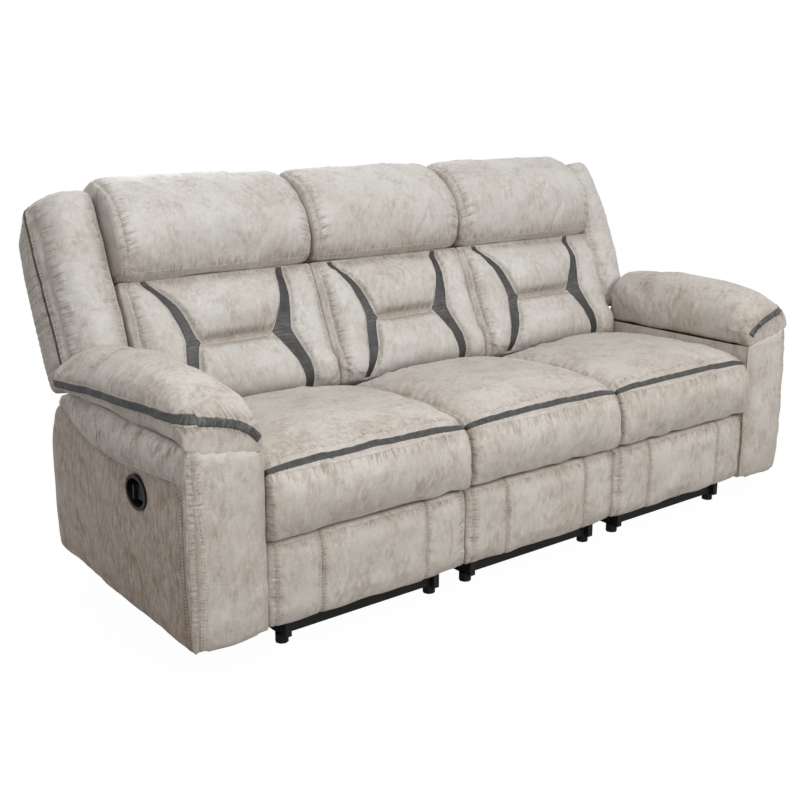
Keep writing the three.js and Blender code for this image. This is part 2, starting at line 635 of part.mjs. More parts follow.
const PAD_FRONT = -6;
const PAD_PAST_GROOVE = 38;
const PAD_REAR = SEAT_DEPTH + PAD_PAST_GROOVE;
const PAD_REAR_SWEEP = 85;
const PAD_OVERHANG_END_SHARE = 0.8;
const PAD_INNER_SHARE = 0.012;
const PAD_TOP = 690;
const PAD_STEP = 548;
// Section shares: across the arm from its inner side, and up from the frame's top.
const PAD_SECTION_SHARES = [
  [-0.03, 0.08], [-0.045, 0.3], [-0.02, 0.55], [0.08, 0.8], [0.28, 0.96], [0.5, 1.0], [0.75, 0.9],
  [0.93, 0.7], [1.0, 0.48], [1.005, 0.3], [0.985, 0.19],
];
// Ahead of the first share the pad's underside slopes up to the outside, over the front panel.
const PAD_LENGTH = PAD_REAR - PAD_FRONT;
const PAD_SLOPE_END_SHARE = (SIDE_FRONT - SEAT_GAP - PAD_FRONT) / PAD_LENGTH;
const PAD_LEVEL_SHARE = (SIDE_FRONT + UNIT_GAP - PAD_FRONT) / PAD_LENGTH;
// Along the pad: share of its length, its size, and how far its top has come up.
const PAD_STATIONS = [
  [0.0, 0.84, 0.35], [0.012, 0.93, 0.55], [PAD_SLOPE_END_SHARE, 0.96, 0.64], [PAD_LEVEL_SHARE, 0.97, 0.65],
  [0.14, 1.0, 0.86], [0.35, 1.0, 0.97],
  [0.55, 1.0, 1.0], [0.75, 1.0, 0.97], [0.9, 1.0, 0.92], [0.975, 0.97, 0.86], [1.0, 0.9, 0.78],
];

const underPad = (x, low) =>
  mix(low, PAD_STEP - (ARM_FRAME_TOP + SEAT_GAP - low), (x - ARM_INNER) / ARM_WIDTH);

function armPad(side) {
  const base = ARM_FRAME_TOP + SEAT_GAP;
  const stepX = ARM_OUTER - SIDE_THICKNESS - ARM_TAPER - SEAT_GAP;
  const low = ARM_INNER + PAD_INNER_SHARE * ARM_WIDTH;
  const rings = PAD_STATIONS.map(([lengthShare, size, topShare]) => {
    const along = (x) => {
      const sweep = PAD_REAR_SWEEP * THREE.MathUtils.clamp((x - ARM_INNER) / ARM_WIDTH, 0, 1) ** 2;
      return FRONT + mix(PAD_FRONT, PAD_REAR + sweep, lengthShare);
    };
    const section = PAD_SECTION_SHARES.map(([xShare, zShare]) => {
      const shareHere = lengthShare > PAD_OVERHANG_END_SHARE ? Math.max(xShare, PAD_INNER_SHARE) : xShare;
      const x = ARM_INNER + Math.max(0.5 + (shareHere - 0.5) * size, shareHere) * ARM_WIDTH;
      return [x, mix(PAD_STEP, PAD_TOP, zShare * topShare) - (1 - xShare) * (PAD_STEP - base) * (1 - zShare)];
    });
    const sloped = lengthShare <= PAD_SLOPE_END_SHARE;
    const seat = (x, level) => [x, sloped ? underPad(x, base) : level];
    section.push(seat(stepX, PAD_STEP), seat(stepX - SEAT_GAP, base), seat(low, base));
    return section.map(([x, z]) => new THREE.Vector3(side * x, along(x), z));
  });
  return loft(rings, (point) => new THREE.Vector2(point.x, point.z));
}

// Release handle: an oval cup in the side panel, with a lever on a vertical pivot inside it.

const HANDLE_PLACE = [243, 401];
const HANDLE_HALF_LENGTH = 52;
const HANDLE_HALF_HEIGHT = 43;
const HANDLE_FLANGE = 6;
const HANDLE_SINK = 10;
const HANDLE_DEPTH = 30;
const HANDLE_WALL = 4;
const HANDLE_BODY = -4;
const LEVER_PIVOT_OFFSET = 28;
const LEVER_REACH = 42;
const LEVER_HALF_HEIGHT = 17;
const LEVER_THICKNESS = 6;
const LEVER_LIP = 8;
const LEVER_PIN = 2.5;
const HANDLE_BACK_X = ARM_OUTER - HANDLE_SINK - HANDLE_DEPTH;

function handleOval(side, grow, x0, x1, segments = 20) {
  const [y, z] = HANDLE_PLACE;
  const geometry = new THREE.CylinderGeometry(1, 1, Math.abs(x1 - x0), segments);
  geometry.rotateZ(Math.PI / 2);
  geometry.scale(1, HANDLE_HALF_LENGTH + grow, HANDLE_HALF_HEIGHT + grow);
  geometry.translate(side * (x0 + x1) / 2, FRONT + y, z);
  return geometry;
}

function uprightPin(x, y, z, radius, half) {
  const geometry = new THREE.CylinderGeometry(radius, radius, half * 2, ROUND_STEPS);
  geometry.rotateX(Math.PI / 2);
  geometry.translate(x, FRONT + y, z);
  return geometry;
}

const LEVER_X = ARM_OUTER - HANDLE_SINK - LEVER_THICKNESS;
const leverPivotY = HANDLE_PLACE[0] - LEVER_PIVOT_OFFSET;
const CUP_GROW = HANDLE_BODY - HANDLE_WALL;
const cupHalfHeightAt = (offset, grow) => (HANDLE_HALF_HEIGHT + grow)
  * Math.sqrt(1 - (offset / (HANDLE_HALF_LENGTH + grow)) ** 2);

function handleHousing(side) {
  const face = ARM_OUTER - HANDLE_SINK;
  const flange = handleOval(side, 0, face, face + HANDLE_FLANGE);
  const body = handleOval(side, HANDLE_BODY, HANDLE_BACK_X, face + HANDLE_FLANGE / 2);
  const cup = handleOval(side, CUP_GROW, HANDLE_BACK_X + HANDLE_WALL, face + HANDLE_FLANGE + OVERRUN);
  const wall = cupHalfHeightAt(LEVER_PIVOT_OFFSET, HANDLE_BODY) + OVERRUN;
  const bore = uprightPin(side * LEVER_X, leverPivotY, HANDLE_PLACE[1], LEVER_PIN + PIN_GAP, wall);
  return joined([flange, body], [cup, bore]);
}

function releaseLever(side) {
  const [, z] = HANDLE_PLACE;
  const half = LEVER_THICKNESS / 2;
  const end = leverPivotY + LEVER_REACH;
  const plate = box(
    side * (LEVER_X - half), side * (LEVER_X + half), leverPivotY, end, z - LEVER_HALF_HEIGHT, z + LEVER_HALF_HEIGHT);
  const lip = box(
    side * (LEVER_X - half), side * (LEVER_X + half + LEVER_LIP), end - LEVER_THICKNESS, end,
    z - LEVER_HALF_HEIGHT, z + LEVER_HALF_HEIGHT);
  const barrel = uprightPin(side * LEVER_X, leverPivotY, z, half, LEVER_HALF_HEIGHT);
  const pinHalf = cupHalfHeightAt(LEVER_PIVOT_OFFSET, CUP_GROW) + HANDLE_WALL / 2;
  const pin = uprightPin(side * LEVER_X, leverPivotY, z, LEVER_PIN, pinHalf);
  return joined([plate, lip, barrel, pin]);
}

// Release cable: from the back of the handle's cup, through the arm's board, to the outer seat plate.

const CABLE_RADIUS = 3;
const CABLE_BORE = 9;
const CABLE_EXIT_BACK = 320;
const CABLE_EXIT_HEIGHT = 224;
const CABLE_STEPS = 28;
const CABLE_SIDES = 8;
// Points of the cable's route: in from the arm's outer side, back and up.
const CABLE_ROUTE = [
  [51, 243, 401], [63, 244, 398], [78, 252, 378], [87, 268, 330], [93, 290, 275],
  [101, 308, 240], [117, 317, 227], [145, 320, 224], [195, 320, 224], [265, 320, 224]];

function releaseCable(side) {
  const plateX = END_CENTRE + PLATE_INNER + PLATE_THICKNESS + SEAT_GAP;
  const route = [
    [HANDLE_BACK_X - SEAT_GAP, ...HANDLE_PLACE],
    ...CABLE_ROUTE.map(([inset, y, z]) => [ARM_OUTER - inset, y, z]),
    [plateX, CABLE_EXIT_BACK, CABLE_EXIT_HEIGHT]];
  const path = new THREE.CatmullRomCurve3(
    route.map(([x, y, z]) => new THREE.Vector3(side * x, FRONT + y, z)), false, 'centripetal');
  const section = new THREE.Shape();
  section.absarc(0, 0, CABLE_RADIUS, 0, Math.PI * 2);
  return new THREE.ExtrudeGeometry(section, {
    steps: CABLE_STEPS, extrudePath: path, curveSegments: CABLE_SIDES / 2, bevelEnabled: false });
}

// Seat box: a wooden ladder frame that carries the seat cushion.

const BOX_RAIL = 52;
const BOX_COLUMNS = 3;
const BOX_ROWS = 2;

function seatBoxBoard(centre, half) {
  const wide = half - UNIT_GAP / 2;
  const board = box(centre - wide, centre + wide, BOX_FRONT, BOX_REAR, BOX_BOTTOM, BOX_TOP);
  const windows = windowGrid(
    centre - wide, centre + wide, FRONT + BOX_FRONT, FRONT + BOX_REAR, BOX_COLUMNS, BOX_ROWS, BOX_RAIL,
  ).map((window) => {
    const depth = BOX_TOP - BOX_BOTTOM + OVERRUN * 2;
    const cut = new THREE.ExtrudeGeometry(window, { depth, bevelEnabled: false });
    return cut.translate(0, 0, BOX_BOTTOM - OVERRUN);
  });
  return joined([board], windows);
}

// Base rails with their glide feet, and the seat plates that stand on them.

const FOOT_HEIGHT = 22;
const FOOT_RADIUS = 17;
const RAIL_TOP = 62;
const RAIL_INNER = PLATE_INNER;
const MIDDLE_RAIL_INSET = 64;
const MIDDLE_RAIL_INNER = MIDDLE_HALF - MIDDLE_RAIL_INSET;
const RAIL_WIDTH = 18;
const RAIL_FRONT = 40;
const RAIL_REAR_INSET = 274;
const RAIL_REAR = DEPTH - RAIL_REAR_INSET;
const FOOT_FRONT = 72;
const FOOT_REAR_INSET = 36;
const FOOT_REAR = RAIL_REAR - FOOT_REAR_INSET;
const BAR_FRONT = 56;
const BAR_REAR = 80;
const BAR_LOW = 26;
const BAR_TOP = 50;

function baseRail(centre, side, withBar) {
  const inner = centre === 0 ? MIDDLE_RAIL_INNER : RAIL_INNER;
  const [x0, x1] = [centre + side * inner, centre + side * (inner + RAIL_WIDTH)];
  const parts = [box(x0, x1, RAIL_FRONT, RAIL_REAR, FOOT_HEIGHT, RAIL_TOP)];
  for (const y of [FOOT_FRONT, FOOT_REAR]) {
    parts.push(uprightPin((x0 + x1) / 2, y, (FOOT_HEIGHT + OVERRUN) / 2, FOOT_RADIUS, (FOOT_HEIGHT + OVERRUN) / 2));
  }
  if (withBar) {
    const barEnd = centre - side * (inner - SEAT_GAP);
    parts.push(box((x0 + x1) / 2, barEnd, BAR_FRONT, BAR_REAR, BAR_LOW, BAR_TOP));
  }
  return joined(parts);
}

const PLATE_BOTTOM = 200;
const PLATE_FRONT = 100;
const PLATE_PAST_GROOVE = 74;
const PLATE_REAR = SEAT_DEPTH + PLATE_PAST_GROOVE;
const FRONT_LEG_INSET = 250;
const REAR_LEG_INSET = 60;
const PLATE_LEGS = [PLATE_REAR - FRONT_LEG_INSET, PLATE_REAR - REAR_LEG_INSET];
const LEG_HALF = 20;
const PLATE_TOP = BOX_BOTTOM - SEAT_GAP;

function plateShape(centre, side, x0, x1) {
  const [near, far] = [centre + side * x0, centre + side * x1];
  const parts = [box(near, far, PLATE_FRONT, PLATE_REAR, PLATE_BOTTOM, PLATE_TOP)];
  for (const y of PLATE_LEGS) {
    parts.push(box(near, far, y - LEG_HALF, y + LEG_HALF, RAIL_TOP + SEAT_GAP, PLATE_TOP));
  }
  parts.push(link([PLATE_REAR - HINGE_EAR, PLATE_TOP - HINGE_EAR * 2], HINGE, HINGE_EAR, near, far));
  parts.push(rod(HINGE, HINGE_PIN, centre + side * (PLATE_INNER - HINGE_PIN_REACH), far));
  return parts;
}

function seatPlate(centre, side) {
  const outer = PLATE_INNER + PLATE_THICKNESS;
  const bores = [[LIFT_PIVOT, SHAFT_STUB], [GUIDE_PIVOT, GUIDE_STUB]].map(([place, radius]) => rod(
    place, radius + PIN_GAP, centre + side * (PLATE_INNER - OVERRUN), centre + side * (outer + OVERRUN)));
  return joined(plateShape(centre, side, PLATE_INNER, outer), bores);
}

function middleSeatBox(half) {
  const reach = MIDDLE_RAIL_INNER + RAIL_WIDTH;
  const boards = [-1, 1].flatMap((side) => plateShape(0, side, MIDDLE_RAIL_INNER, reach).concat(box(
    side * MIDDLE_RAIL_INNER, side * reach, PLATE_FRONT, PLATE_REAR, PLATE_BOTTOM, BOX_BOTTOM + OVERRUN)));
  const front = box(
    -reach, reach, PANEL_DEPTH + SEAT_GAP, PLATE_FRONT + OVERRUN, BOARD_LOW, BOX_BOTTOM + OVERRUN);
  return joined([seatBoxBoard(0, half), front, ...boards]);
}

// Footrest linkage of an end seat. Planes are distances from the seat's middle to a link's inner face.

const LINK_THICKNESS = 4;
const LIFT_PLANE = PLATE_INNER - PLANE_GAP - LINK_THICKNESS;
const EXTEND_PLANE = LIFT_PLANE - PLANE_GAP - LINK_THICKNESS;
const BRACKET_PLANE = EXTEND_PLANE - PLANE_GAP - LINK_THICKNESS;
const TILT_PLANE = BRACKET_PLANE - PLANE_GAP - LINK_THICKNESS;
const LIFT_PIVOT = [170, 265];
const LIFT_LENGTH = 210;
const LIFT_START = -50;
const GUIDE_OFFSET = [55, -20];
const EXTEND_LENGTH = 261;
const EXTEND_HEADING = 144.7;
const CRANK_LENGTH = 30;
const CRANK_HEADING = 65;
const FOOTREST_ARM = 43.6;
const FOOTREST_ARM_HEADING = 42.8;
const LINK_HALF = 11;
const CRANK_HALF = 8;
const TILT_HALF = 7;
const TILT_BOW = 14;
const SHAFT_RADIUS = 7;
const SHAFT_STUB = 5;
const GUIDE_SHAFT = 6;
const GUIDE_STUB = 4;
const KNEE_PIN = 6;
const LINK_PIN = 4;
const OPEN_PIVOT_GAP = 3.2;
const shifted = ([y, z], [dy, dz]) => [y + dy, z + dz];
const GUIDE_PIVOT = shifted(LIFT_PIVOT, GUIDE_OFFSET);
const KNEE = polar(LIFT_PIVOT, LIFT_LENGTH, LIFT_START);
const GUIDE_KNEE = shifted(KNEE, GUIDE_OFFSET);
const FOOTREST_PIVOT = polar(KNEE, EXTEND_LENGTH, EXTEND_HEADING);
const CRANK_PIN = polar(KNEE, CRANK_LENGTH, CRANK_HEADING);
const TILT_PIN = polar(FOOTREST_PIVOT, FOOTREST_ARM, FOOTREST_ARM_HEADING);

const plane = (centre, side, start) => [centre + side * start, centre + side * (start + LINK_THICKNESS)];

function liftLinks(centre, tiltSide) {
  const tip = PLATE_INNER + PLATE_THICKNESS + PLANE_GAP;
  const parts = [rod(LIFT_PIVOT, SHAFT_RADIUS, centre - LIFT_PLANE - PLANE_GAP, centre + LIFT_PLANE + PLANE_GAP)];
  parts.push(rod(LIFT_PIVOT, SHAFT_STUB, centre - tip, centre + tip));
  for (const side of [-1, 1]) {
    parts.push(link(LIFT_PIVOT, KNEE, LINK_HALF, ...plane(centre, side, LIFT_PLANE)));
    const inner = side === tiltSide ? BRACKET_PLANE : EXTEND_PLANE - PLANE_GAP / 2;
    parts.push(rod(KNEE, KNEE_PIN, centre + side * inner, centre + side * (LIFT_PLANE + PLANE_GAP)));
  }
  parts.push(link(KNEE, CRANK_PIN, CRANK_HALF, ...plane(centre, tiltSide, BRACKET_PLANE)));
  parts.push(rod(
    CRANK_PIN, LINK_PIN, centre + tiltSide * (TILT_PLANE - PLANE_GAP / 2),
    centre + tiltSide * (BRACKET_PLANE + PLANE_GAP)));
  return joined(parts);
}

function guideLinks(centre) {
  const tip = PLATE_INNER + PLATE_THICKNESS + PLANE_GAP;
  const parts = [rod(GUIDE_PIVOT, GUIDE_SHAFT, centre - LIFT_PLANE - PLANE_GAP, centre + LIFT_PLANE + PLANE_GAP)];
  parts.push(rod(GUIDE_PIVOT, GUIDE_STUB, centre - tip, centre + tip));
  for (const side of [-1, 1]) {
    parts.push(link(GUIDE_PIVOT, GUIDE_KNEE, LINK_HALF, ...plane(centre, side, LIFT_PLANE)));
    parts.push(rod(
      GUIDE_KNEE, LINK_PIN, centre + side * (EXTEND_PLANE - PLANE_GAP / 2),
      centre + side * (LIFT_PLANE + PLANE_GAP)));
  }
  return joined(parts);
}

function extendLink(centre, side) {
  const faces = plane(centre, side, EXTEND_PLANE);
  const cutFaces = [centre + side * (EXTEND_PLANE - OVERRUN), centre + side * (LIFT_PLANE - PLANE_GAP + OVERRUN)];
  const bores = [
    rod(KNEE, KNEE_PIN + PIN_GAP, ...cutFaces), rod(GUIDE_KNEE, LINK_PIN + PIN_GAP, ...cutFaces),
    rod(FOOTREST_PIVOT, LINK_PIN + PIN_GAP, ...cutFaces)];
  return joined([
    link(KNEE, FOOTREST_PIVOT, LINK_HALF, ...faces), link(KNEE, GUIDE_KNEE, LINK_HALF, ...faces)], bores);
}

function tiltLink(centre, side) {
  const faces = plane(centre, side, TILT_PLANE);
  const cutFaces = [centre + side * (TILT_PLANE - OVERRUN), centre + side * (BRACKET_PLANE)];
  const middle = [(CRANK_PIN[0] + TILT_PIN[0]) / 2, (CRANK_PIN[1] + TILT_PIN[1]) / 2];
  const across = Math.atan2(TILT_PIN[1] - CRANK_PIN[1], TILT_PIN[0] - CRANK_PIN[0]) + Math.PI / 2;
  const bow = [middle[0] + TILT_BOW * Math.cos(across), middle[1] + TILT_BOW * Math.sin(across)];
  const eye = rod(TILT_PIN, LINK_PIN + OPEN_PIVOT_GAP + LINK_THICKNESS, ...faces);
  const bores = [
    rod(CRANK_PIN, LINK_PIN + PIN_GAP, ...cutFaces), rod(TILT_PIN, LINK_PIN + OPEN_PIVOT_GAP, ...cutFaces)];
  return joined([link(CRANK_PIN, bow, TILT_HALF, ...faces), link(bow, TILT_PIN, TILT_HALF, ...faces), eye], bores);
}

const BOARD_THICKNESS = 12;
const BOARD_LOW = 92;
const BOARD_HIGH = 272;
const BRACKET_LOW = 200;

function footrestFrame(centre, tiltSide) {
  const half = BRACKET_PLANE + LINK_THICKNESS;
  const boardFront = PANEL_DEPTH + SEAT_GAP;
  const boardRear = boardFront + BOARD_THICKNESS;
  const parts = [box(centre - half, centre + half, boardFront, boardRear, BOARD_LOW, BOARD_HIGH)];
  for (const side of [-1, 1]) {
    const faces = plane(centre, side, BRACKET_PLANE);
    const [y, z] = FOOTREST_PIVOT;
    parts.push(box(...faces, boardFront, y + LINK_HALF, BRACKET_LOW, z));
    parts.push(link([y, BRACKET_LOW], FOOTREST_PIVOT, LINK_HALF, ...faces));
    parts.push(rod(
      FOOTREST_PIVOT, LINK_PIN, centre + side * BRACKET_PLANE, centre + side * (LIFT_PLANE - PLANE_GAP / 2)));
    if (side === tiltSide) {
      parts.push(link(FOOTREST_PIVOT, TILT_PIN, CRANK_HALF, ...faces));
      parts.push(rod(
        TILT_PIN, LINK_PIN, centre + side * (TILT_PLANE - PLANE_GAP / 2),
        centre + side * (BRACKET_PLANE + LINK_THICKNESS)));
    }
  }
  return joined(parts);
}

// Rear stretcher: a wooden rail across all three units, between the arm frames.

const STRETCHER_INSET = 10;
const STRETCHER_THICKNESS = 34;
const STRETCHER_REAR = RAIL_REAR - STRETCHER_INSET;
const STRETCHER_FRONT = STRETCHER_REAR - STRETCHER_THICKNESS;
const STRETCHER_TOP = 132;

function rearStretcher() {
  const half = ARM_INNER + ARM_FACE_GAP - SEAT_GAP;
  return box(-half, half, STRETCHER_FRONT, STRETCHER_REAR, RAIL_TOP + SEAT_GAP, STRETCHER_TOP);
}

// Assembly

function seatUnit(name, centre, half) {
  put(`${name}_seat_cushion`, seatCushion(centre, half), suede);
  put(`${name}_back_frame`, backFrame(centre, half), wood);
  put(`${name}_back_cushion`, backCushion(centre, half), suede);
  put(`${name}_headrest`, headrest(centre, half), suede);
  put(`${name}_back_cover`, backCover(centre, half), suede);
}

for (const [name, side] of [['left', -1], ['right', 1]]) {
  const centre = side * END_CENTRE;
  seatUnit(name, centre, END_HALF);
  put(`${name}_seat_box`, seatBoxBoard(centre, END_HALF), wood);
  put(`${name}_wing`, wing(side), suede);
  put(`${name}_footrest_pad`, frontPanel(centre, END_HALF), suede);
  put(`${name}_footrest_frame`, footrestFrame(centre, side), wood);
  put(`${name}_lift_links`, liftLinks(centre, side), steel);
  put(`${name}_guide_links`, guideLinks(centre), steel);
  put(`${name}_tilt_link`, tiltLink(centre, side), steel);
  for (const [place, hand] of [['outer', side], ['inner', -side]]) {
    put(`${name}_${place}_extend_link`, extendLink(centre, hand), steel);
    put(`${name}_${place}_seat_plate`, seatPlate(centre, hand), steel);
    put(`${name}_${place}_base_rail`, baseRail(centre, hand, place === 'outer'), steel);
  }
  put(`${name}_release_lever`, releaseLever(side), plastic);
  put(`${name}_release_cable`, releaseCable(side), plastic);
  put(`${name}_handle_housing`, handleHousing(side), plastic);
  put(`${name}_arm_frame`, armFrame(side), wood);
  put(`${name}_arm_side_panel`, armSidePanel(side), suede);
  put(`${name}_arm_front_panel`, armFrontPanel(side), suede);
  put(`${name}_arm_pad`, armPad(side), suede);
}

seatUnit('middle', 0, MIDDLE_HALF);
put('middle_seat_box', middleSeatBox(MIDDLE_HALF), wood);
put('middle_front_panel', frontPanel(0, MIDDLE_HALF), suede);
put('middle_left_base_rail', baseRail(0, -1, true), steel);
put('middle_right_base_rail', baseRail(0, 1, false), steel);
put('rear_stretcher', rearStretcher(), wood);

export default sofa;
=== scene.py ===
"""Three-seat reclining sofa: its upholstery, trim and finishes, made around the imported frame."""
import math

import bmesh
import bpy
import numpy as np
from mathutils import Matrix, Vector
from mathutils.bvhtree import BVHTree


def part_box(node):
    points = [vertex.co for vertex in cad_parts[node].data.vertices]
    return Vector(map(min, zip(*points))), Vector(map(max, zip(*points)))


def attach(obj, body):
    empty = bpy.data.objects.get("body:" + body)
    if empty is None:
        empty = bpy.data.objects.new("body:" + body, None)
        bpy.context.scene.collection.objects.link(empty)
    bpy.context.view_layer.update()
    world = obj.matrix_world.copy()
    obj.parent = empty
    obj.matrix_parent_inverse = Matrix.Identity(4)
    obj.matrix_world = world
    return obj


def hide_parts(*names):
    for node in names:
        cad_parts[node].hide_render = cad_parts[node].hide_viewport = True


bl_info = {
    "name": "Reclining Sofa",
    "version": (1, 0, 0),
    "blender": (4, 5, 0),
    "location": "View3D > Sidebar > Sofa",
    "description": "Models the soft goods and finishes of a three-seat reclining sofa",
    "category": "Object",
}

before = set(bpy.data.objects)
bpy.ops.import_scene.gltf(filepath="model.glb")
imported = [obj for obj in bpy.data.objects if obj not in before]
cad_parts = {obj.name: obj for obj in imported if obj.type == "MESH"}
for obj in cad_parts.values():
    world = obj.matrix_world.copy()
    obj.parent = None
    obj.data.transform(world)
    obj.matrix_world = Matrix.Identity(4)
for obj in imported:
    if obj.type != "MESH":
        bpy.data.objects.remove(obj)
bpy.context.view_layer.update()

# Sizes in metres. The groove point is where the seats meet the backs; the backs lean from there.
LEAN = math.radians(24.2)
GROOVE = Vector((0.0, 0.071, 0.460))
RISE = Vector((0.0, math.sin(LEAN), math.cos(LEAN)))
FORWARD = Vector((0.0, -math.cos(LEAN), math.sin(LEAN)))
DOWN = Vector((0.0, 0.0, -1.0))
BACKWARD = Vector((0.0, 1.0, 0.0))
ENDS = {"left": -1.0, "right": 1.0}
UNITS = ("left", "middle", "right")
SEAT_BODY = {"left": "left_seat", "middle": "base", "right": "right_seat"}
BACK_BODY = {"left": "left_back", "middle": "base", "right": "right_back"}
PANEL_BODY = {"left": "left_footrest", "middle": "base", "right": "right_footrest"}
PANEL_NODE = {"left": "left_footrest_pad", "middle": "middle_front_panel", "right": "right_footrest_pad"}


def srgb(red, green, blue):
    """A colour written as 0-255 sRGB values, as linear RGBA."""
    def linear(value):
        value /= 255.0
        return value / 12.92 if value <= 0.04045 else ((value + 0.055) / 1.055) ** 2.4
    return (linear(red), linear(green), linear(blue), 1.0)


class SofaSettings(bpy.types.PropertyGroup):
    """Sizes and colours of the sofa's soft goods."""
    suede_light: bpy.props.FloatVectorProperty(
        name="Suede light", description="Palest colour of the suede", subtype="COLOR", size=4,
        min=0, max=1, default=srgb(207, 204, 199))
    suede_tan: bpy.props.FloatVectorProperty(
        name="Suede tan", description="Middle colour of the suede", subtype="COLOR", size=4,
        min=0, max=1, default=srgb(193, 187, 179))
    # The brown is the colour of the stains and streaks, and also of the painted shade in creases, folds and
    # tucks.
    suede_brown: bpy.props.FloatVectorProperty(
        name="Suede brown", description="Colour of the suede's worn stains", subtype="COLOR", size=4,
        min=0, max=1, default=srgb(147, 129, 114))
    accent: bpy.props.FloatVectorProperty(
        name="Accent", description="Colour of the dark trim", subtype="COLOR", size=4,
        min=0, max=1, default=srgb(50, 49, 49))
    thread: bpy.props.FloatVectorProperty(
        name="Thread", description="Colour of the stitching", subtype="COLOR", size=4,
        min=0, max=1, default=srgb(226, 221, 210))
    stitch_length: bpy.props.FloatProperty(
        name="Stitch length", description="Length of one stitch", subtype="DISTANCE", unit="LENGTH",
        default=0.0056)
    stitch_pitch: bpy.props.FloatProperty(
        name="Stitch pitch", description="Distance from stitch to stitch", subtype="DISTANCE",
        unit="LENGTH", default=0.0084)
    stitch_radius: bpy.props.FloatProperty(
        name="Stitch radius", description="Half the thread's thickness", subtype="DISTANCE",
        unit="LENGTH", default=0.0009)
    twin_gap: bpy.props.FloatProperty(
        name="Twin gap", description="Distance between the rows of a double seam", subtype="DISTANCE",
        unit="LENGTH", default=0.008)
    puff_cap: bpy.props.FloatProperty(
        name="Puff cap", description="Farthest that the filling pushes the cloth", subtype="DISTANCE",
        unit="LENGTH", default=0.012)
    puff_pressure: bpy.props.FloatProperty(
        name="Puff pressure", description="Pressure of the filling in the cloth simulation", default=4.0)


def settings():
    return bpy.context.scene.sofa


# Mesh helpers

def select_only(piece):
    bpy.ops.object.select_all(action="DESELECT")
    piece.select_set(True)
    bpy.context.view_layer.objects.active = piece


def new_grid(name, columns, rows):
    """A flat grid one metre square, to be laid in place, with its points."""
    bpy.ops.object.select_all(action="DESELECT")
    bpy.ops.mesh.primitive_grid_add(x_subdivisions=columns, y_subdivisions=rows, size=1.0)
    piece = bpy.context.active_object
    piece.name = name
    return piece, read_points(piece)


def thicken(piece, thickness, offset=0.0):
    """Gives a sheet its thickness, laid about it (0) or outward from it (1)."""
    body = piece.modifiers.new("Body", "SOLIDIFY")
    body.thickness = thickness
    body.offset = offset


def apply_modifiers(piece):
    select_only(piece)
    for modifier in list(piece.modifiers):
        bpy.ops.object.modifier_apply(modifier=modifier.name)


def merged_copy(node, name):
    """A copy of a CAD node's solid with its loose triangles merged."""
    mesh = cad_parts[node].data.copy()
    mesh.materials.clear()
    piece = bpy.data.objects.new(name, mesh)
    bpy.context.scene.collection.objects.link(piece)
    shell = bmesh.new()
    shell.from_mesh(mesh)
    bmesh.ops.remove_doubles(shell, verts=shell.verts, dist=1e-5)
    bmesh.ops.recalc_face_normals(shell, faces=shell.faces)
    shell.to_mesh(mesh)
    shell.free()
    return piece


def read_points(piece, what="co"):
    values = np.empty(len(piece.data.vertices) * 3)
    piece.data.vertices.foreach_get(what, values)
    return values.reshape(-1, 3)


def write_points(piece, points):
    piece.data.vertices.foreach_set("co", points.ravel())
    piece.data.update()


def smooth_shade(piece, angle=60.0):
    select_only(piece)
    bpy.ops.object.shade_smooth_by_angle(angle=math.radians(angle))


def remesh(piece, voxel, rounds, grow=0.0012):
    """An even skin over the piece, smoothed a few rounds so that no facet is left, at its full size."""
    grid = piece.modifiers.new("Even", "REMESH")
    grid.mode = "VOXEL"
    grid.voxel_size = voxel
    ease = piece.modifiers.new("Ease", "SMOOTH")
    ease.factor = 0.5
    ease.iterations = rounds
    apply_modifiers(piece)
    write_points(piece, read_points(piece) + read_points(piece, "normal") * grow)


def refine(piece, levels=1):
    finer = piece.modifiers.new("Finer", "SUBSURF")
    finer.levels = levels
    finer.render_levels = levels
    apply_modifiers(piece)


PUFF_FRAMES = 14
PUFF_GROWTH = 0.02


def puff(piece, held, cap):
    """Fills the cover: pressed out from inside, held where it is sewn, and capped."""
    start = read_points(piece)
    group = piece.vertex_groups.new(name="sewn")
    group.add([int(k) for k in np.nonzero(held(start))[0]], 1.0, "REPLACE")
    cloth = piece.modifiers.new("Filling", "CLOTH")
    cloth.settings.quality = 3
    cloth.settings.mass = 0.25
    cloth.settings.tension_stiffness = 12
    cloth.settings.compression_stiffness = 12
    cloth.settings.bending_stiffness = 0.3
    cloth.settings.use_pressure = True
    cloth.settings.uniform_pressure_force = settings().puff_pressure
    cloth.settings.shrink_min = -PUFF_GROWTH
    cloth.settings.effector_weights.gravity = 0
    cloth.settings.vertex_group_mass = "sewn"
    cloth.collision_settings.use_collision = False
    for step in range(1, PUFF_FRAMES + 1):
        bpy.context.scene.frame_set(step)
    shape = piece.evaluated_get(bpy.context.evaluated_depsgraph_get()).to_mesh()
    end = np.empty(len(shape.vertices) * 3)
    shape.vertices.foreach_get("co", end)
    end = end.reshape(-1, 3)
    piece.modifiers.remove(cloth)
    piece.vertex_groups.remove(group)
    bpy.context.scene.frame_set(1)
    move = end - start
    length = np.linalg.norm(move, axis=1, keepdims=True)
    move *= np.minimum(1.0, cap / np.maximum(length, 1e-9))
    write_points(piece, start + move)


# Smooth seeded noise and the folds made from it

def hashed(cells, seed):
    mixed = cells[:, 0] * 374761393 + cells[:, 1] * 668265263 + cells[:, 2] * 362437 + seed * 974711
    mixed = (mixed ^ (mixed >> 13)) * 1274126177
    return ((mixed ^ (mixed >> 16)) & 0xFFFF) / 32767.5 - 1.0


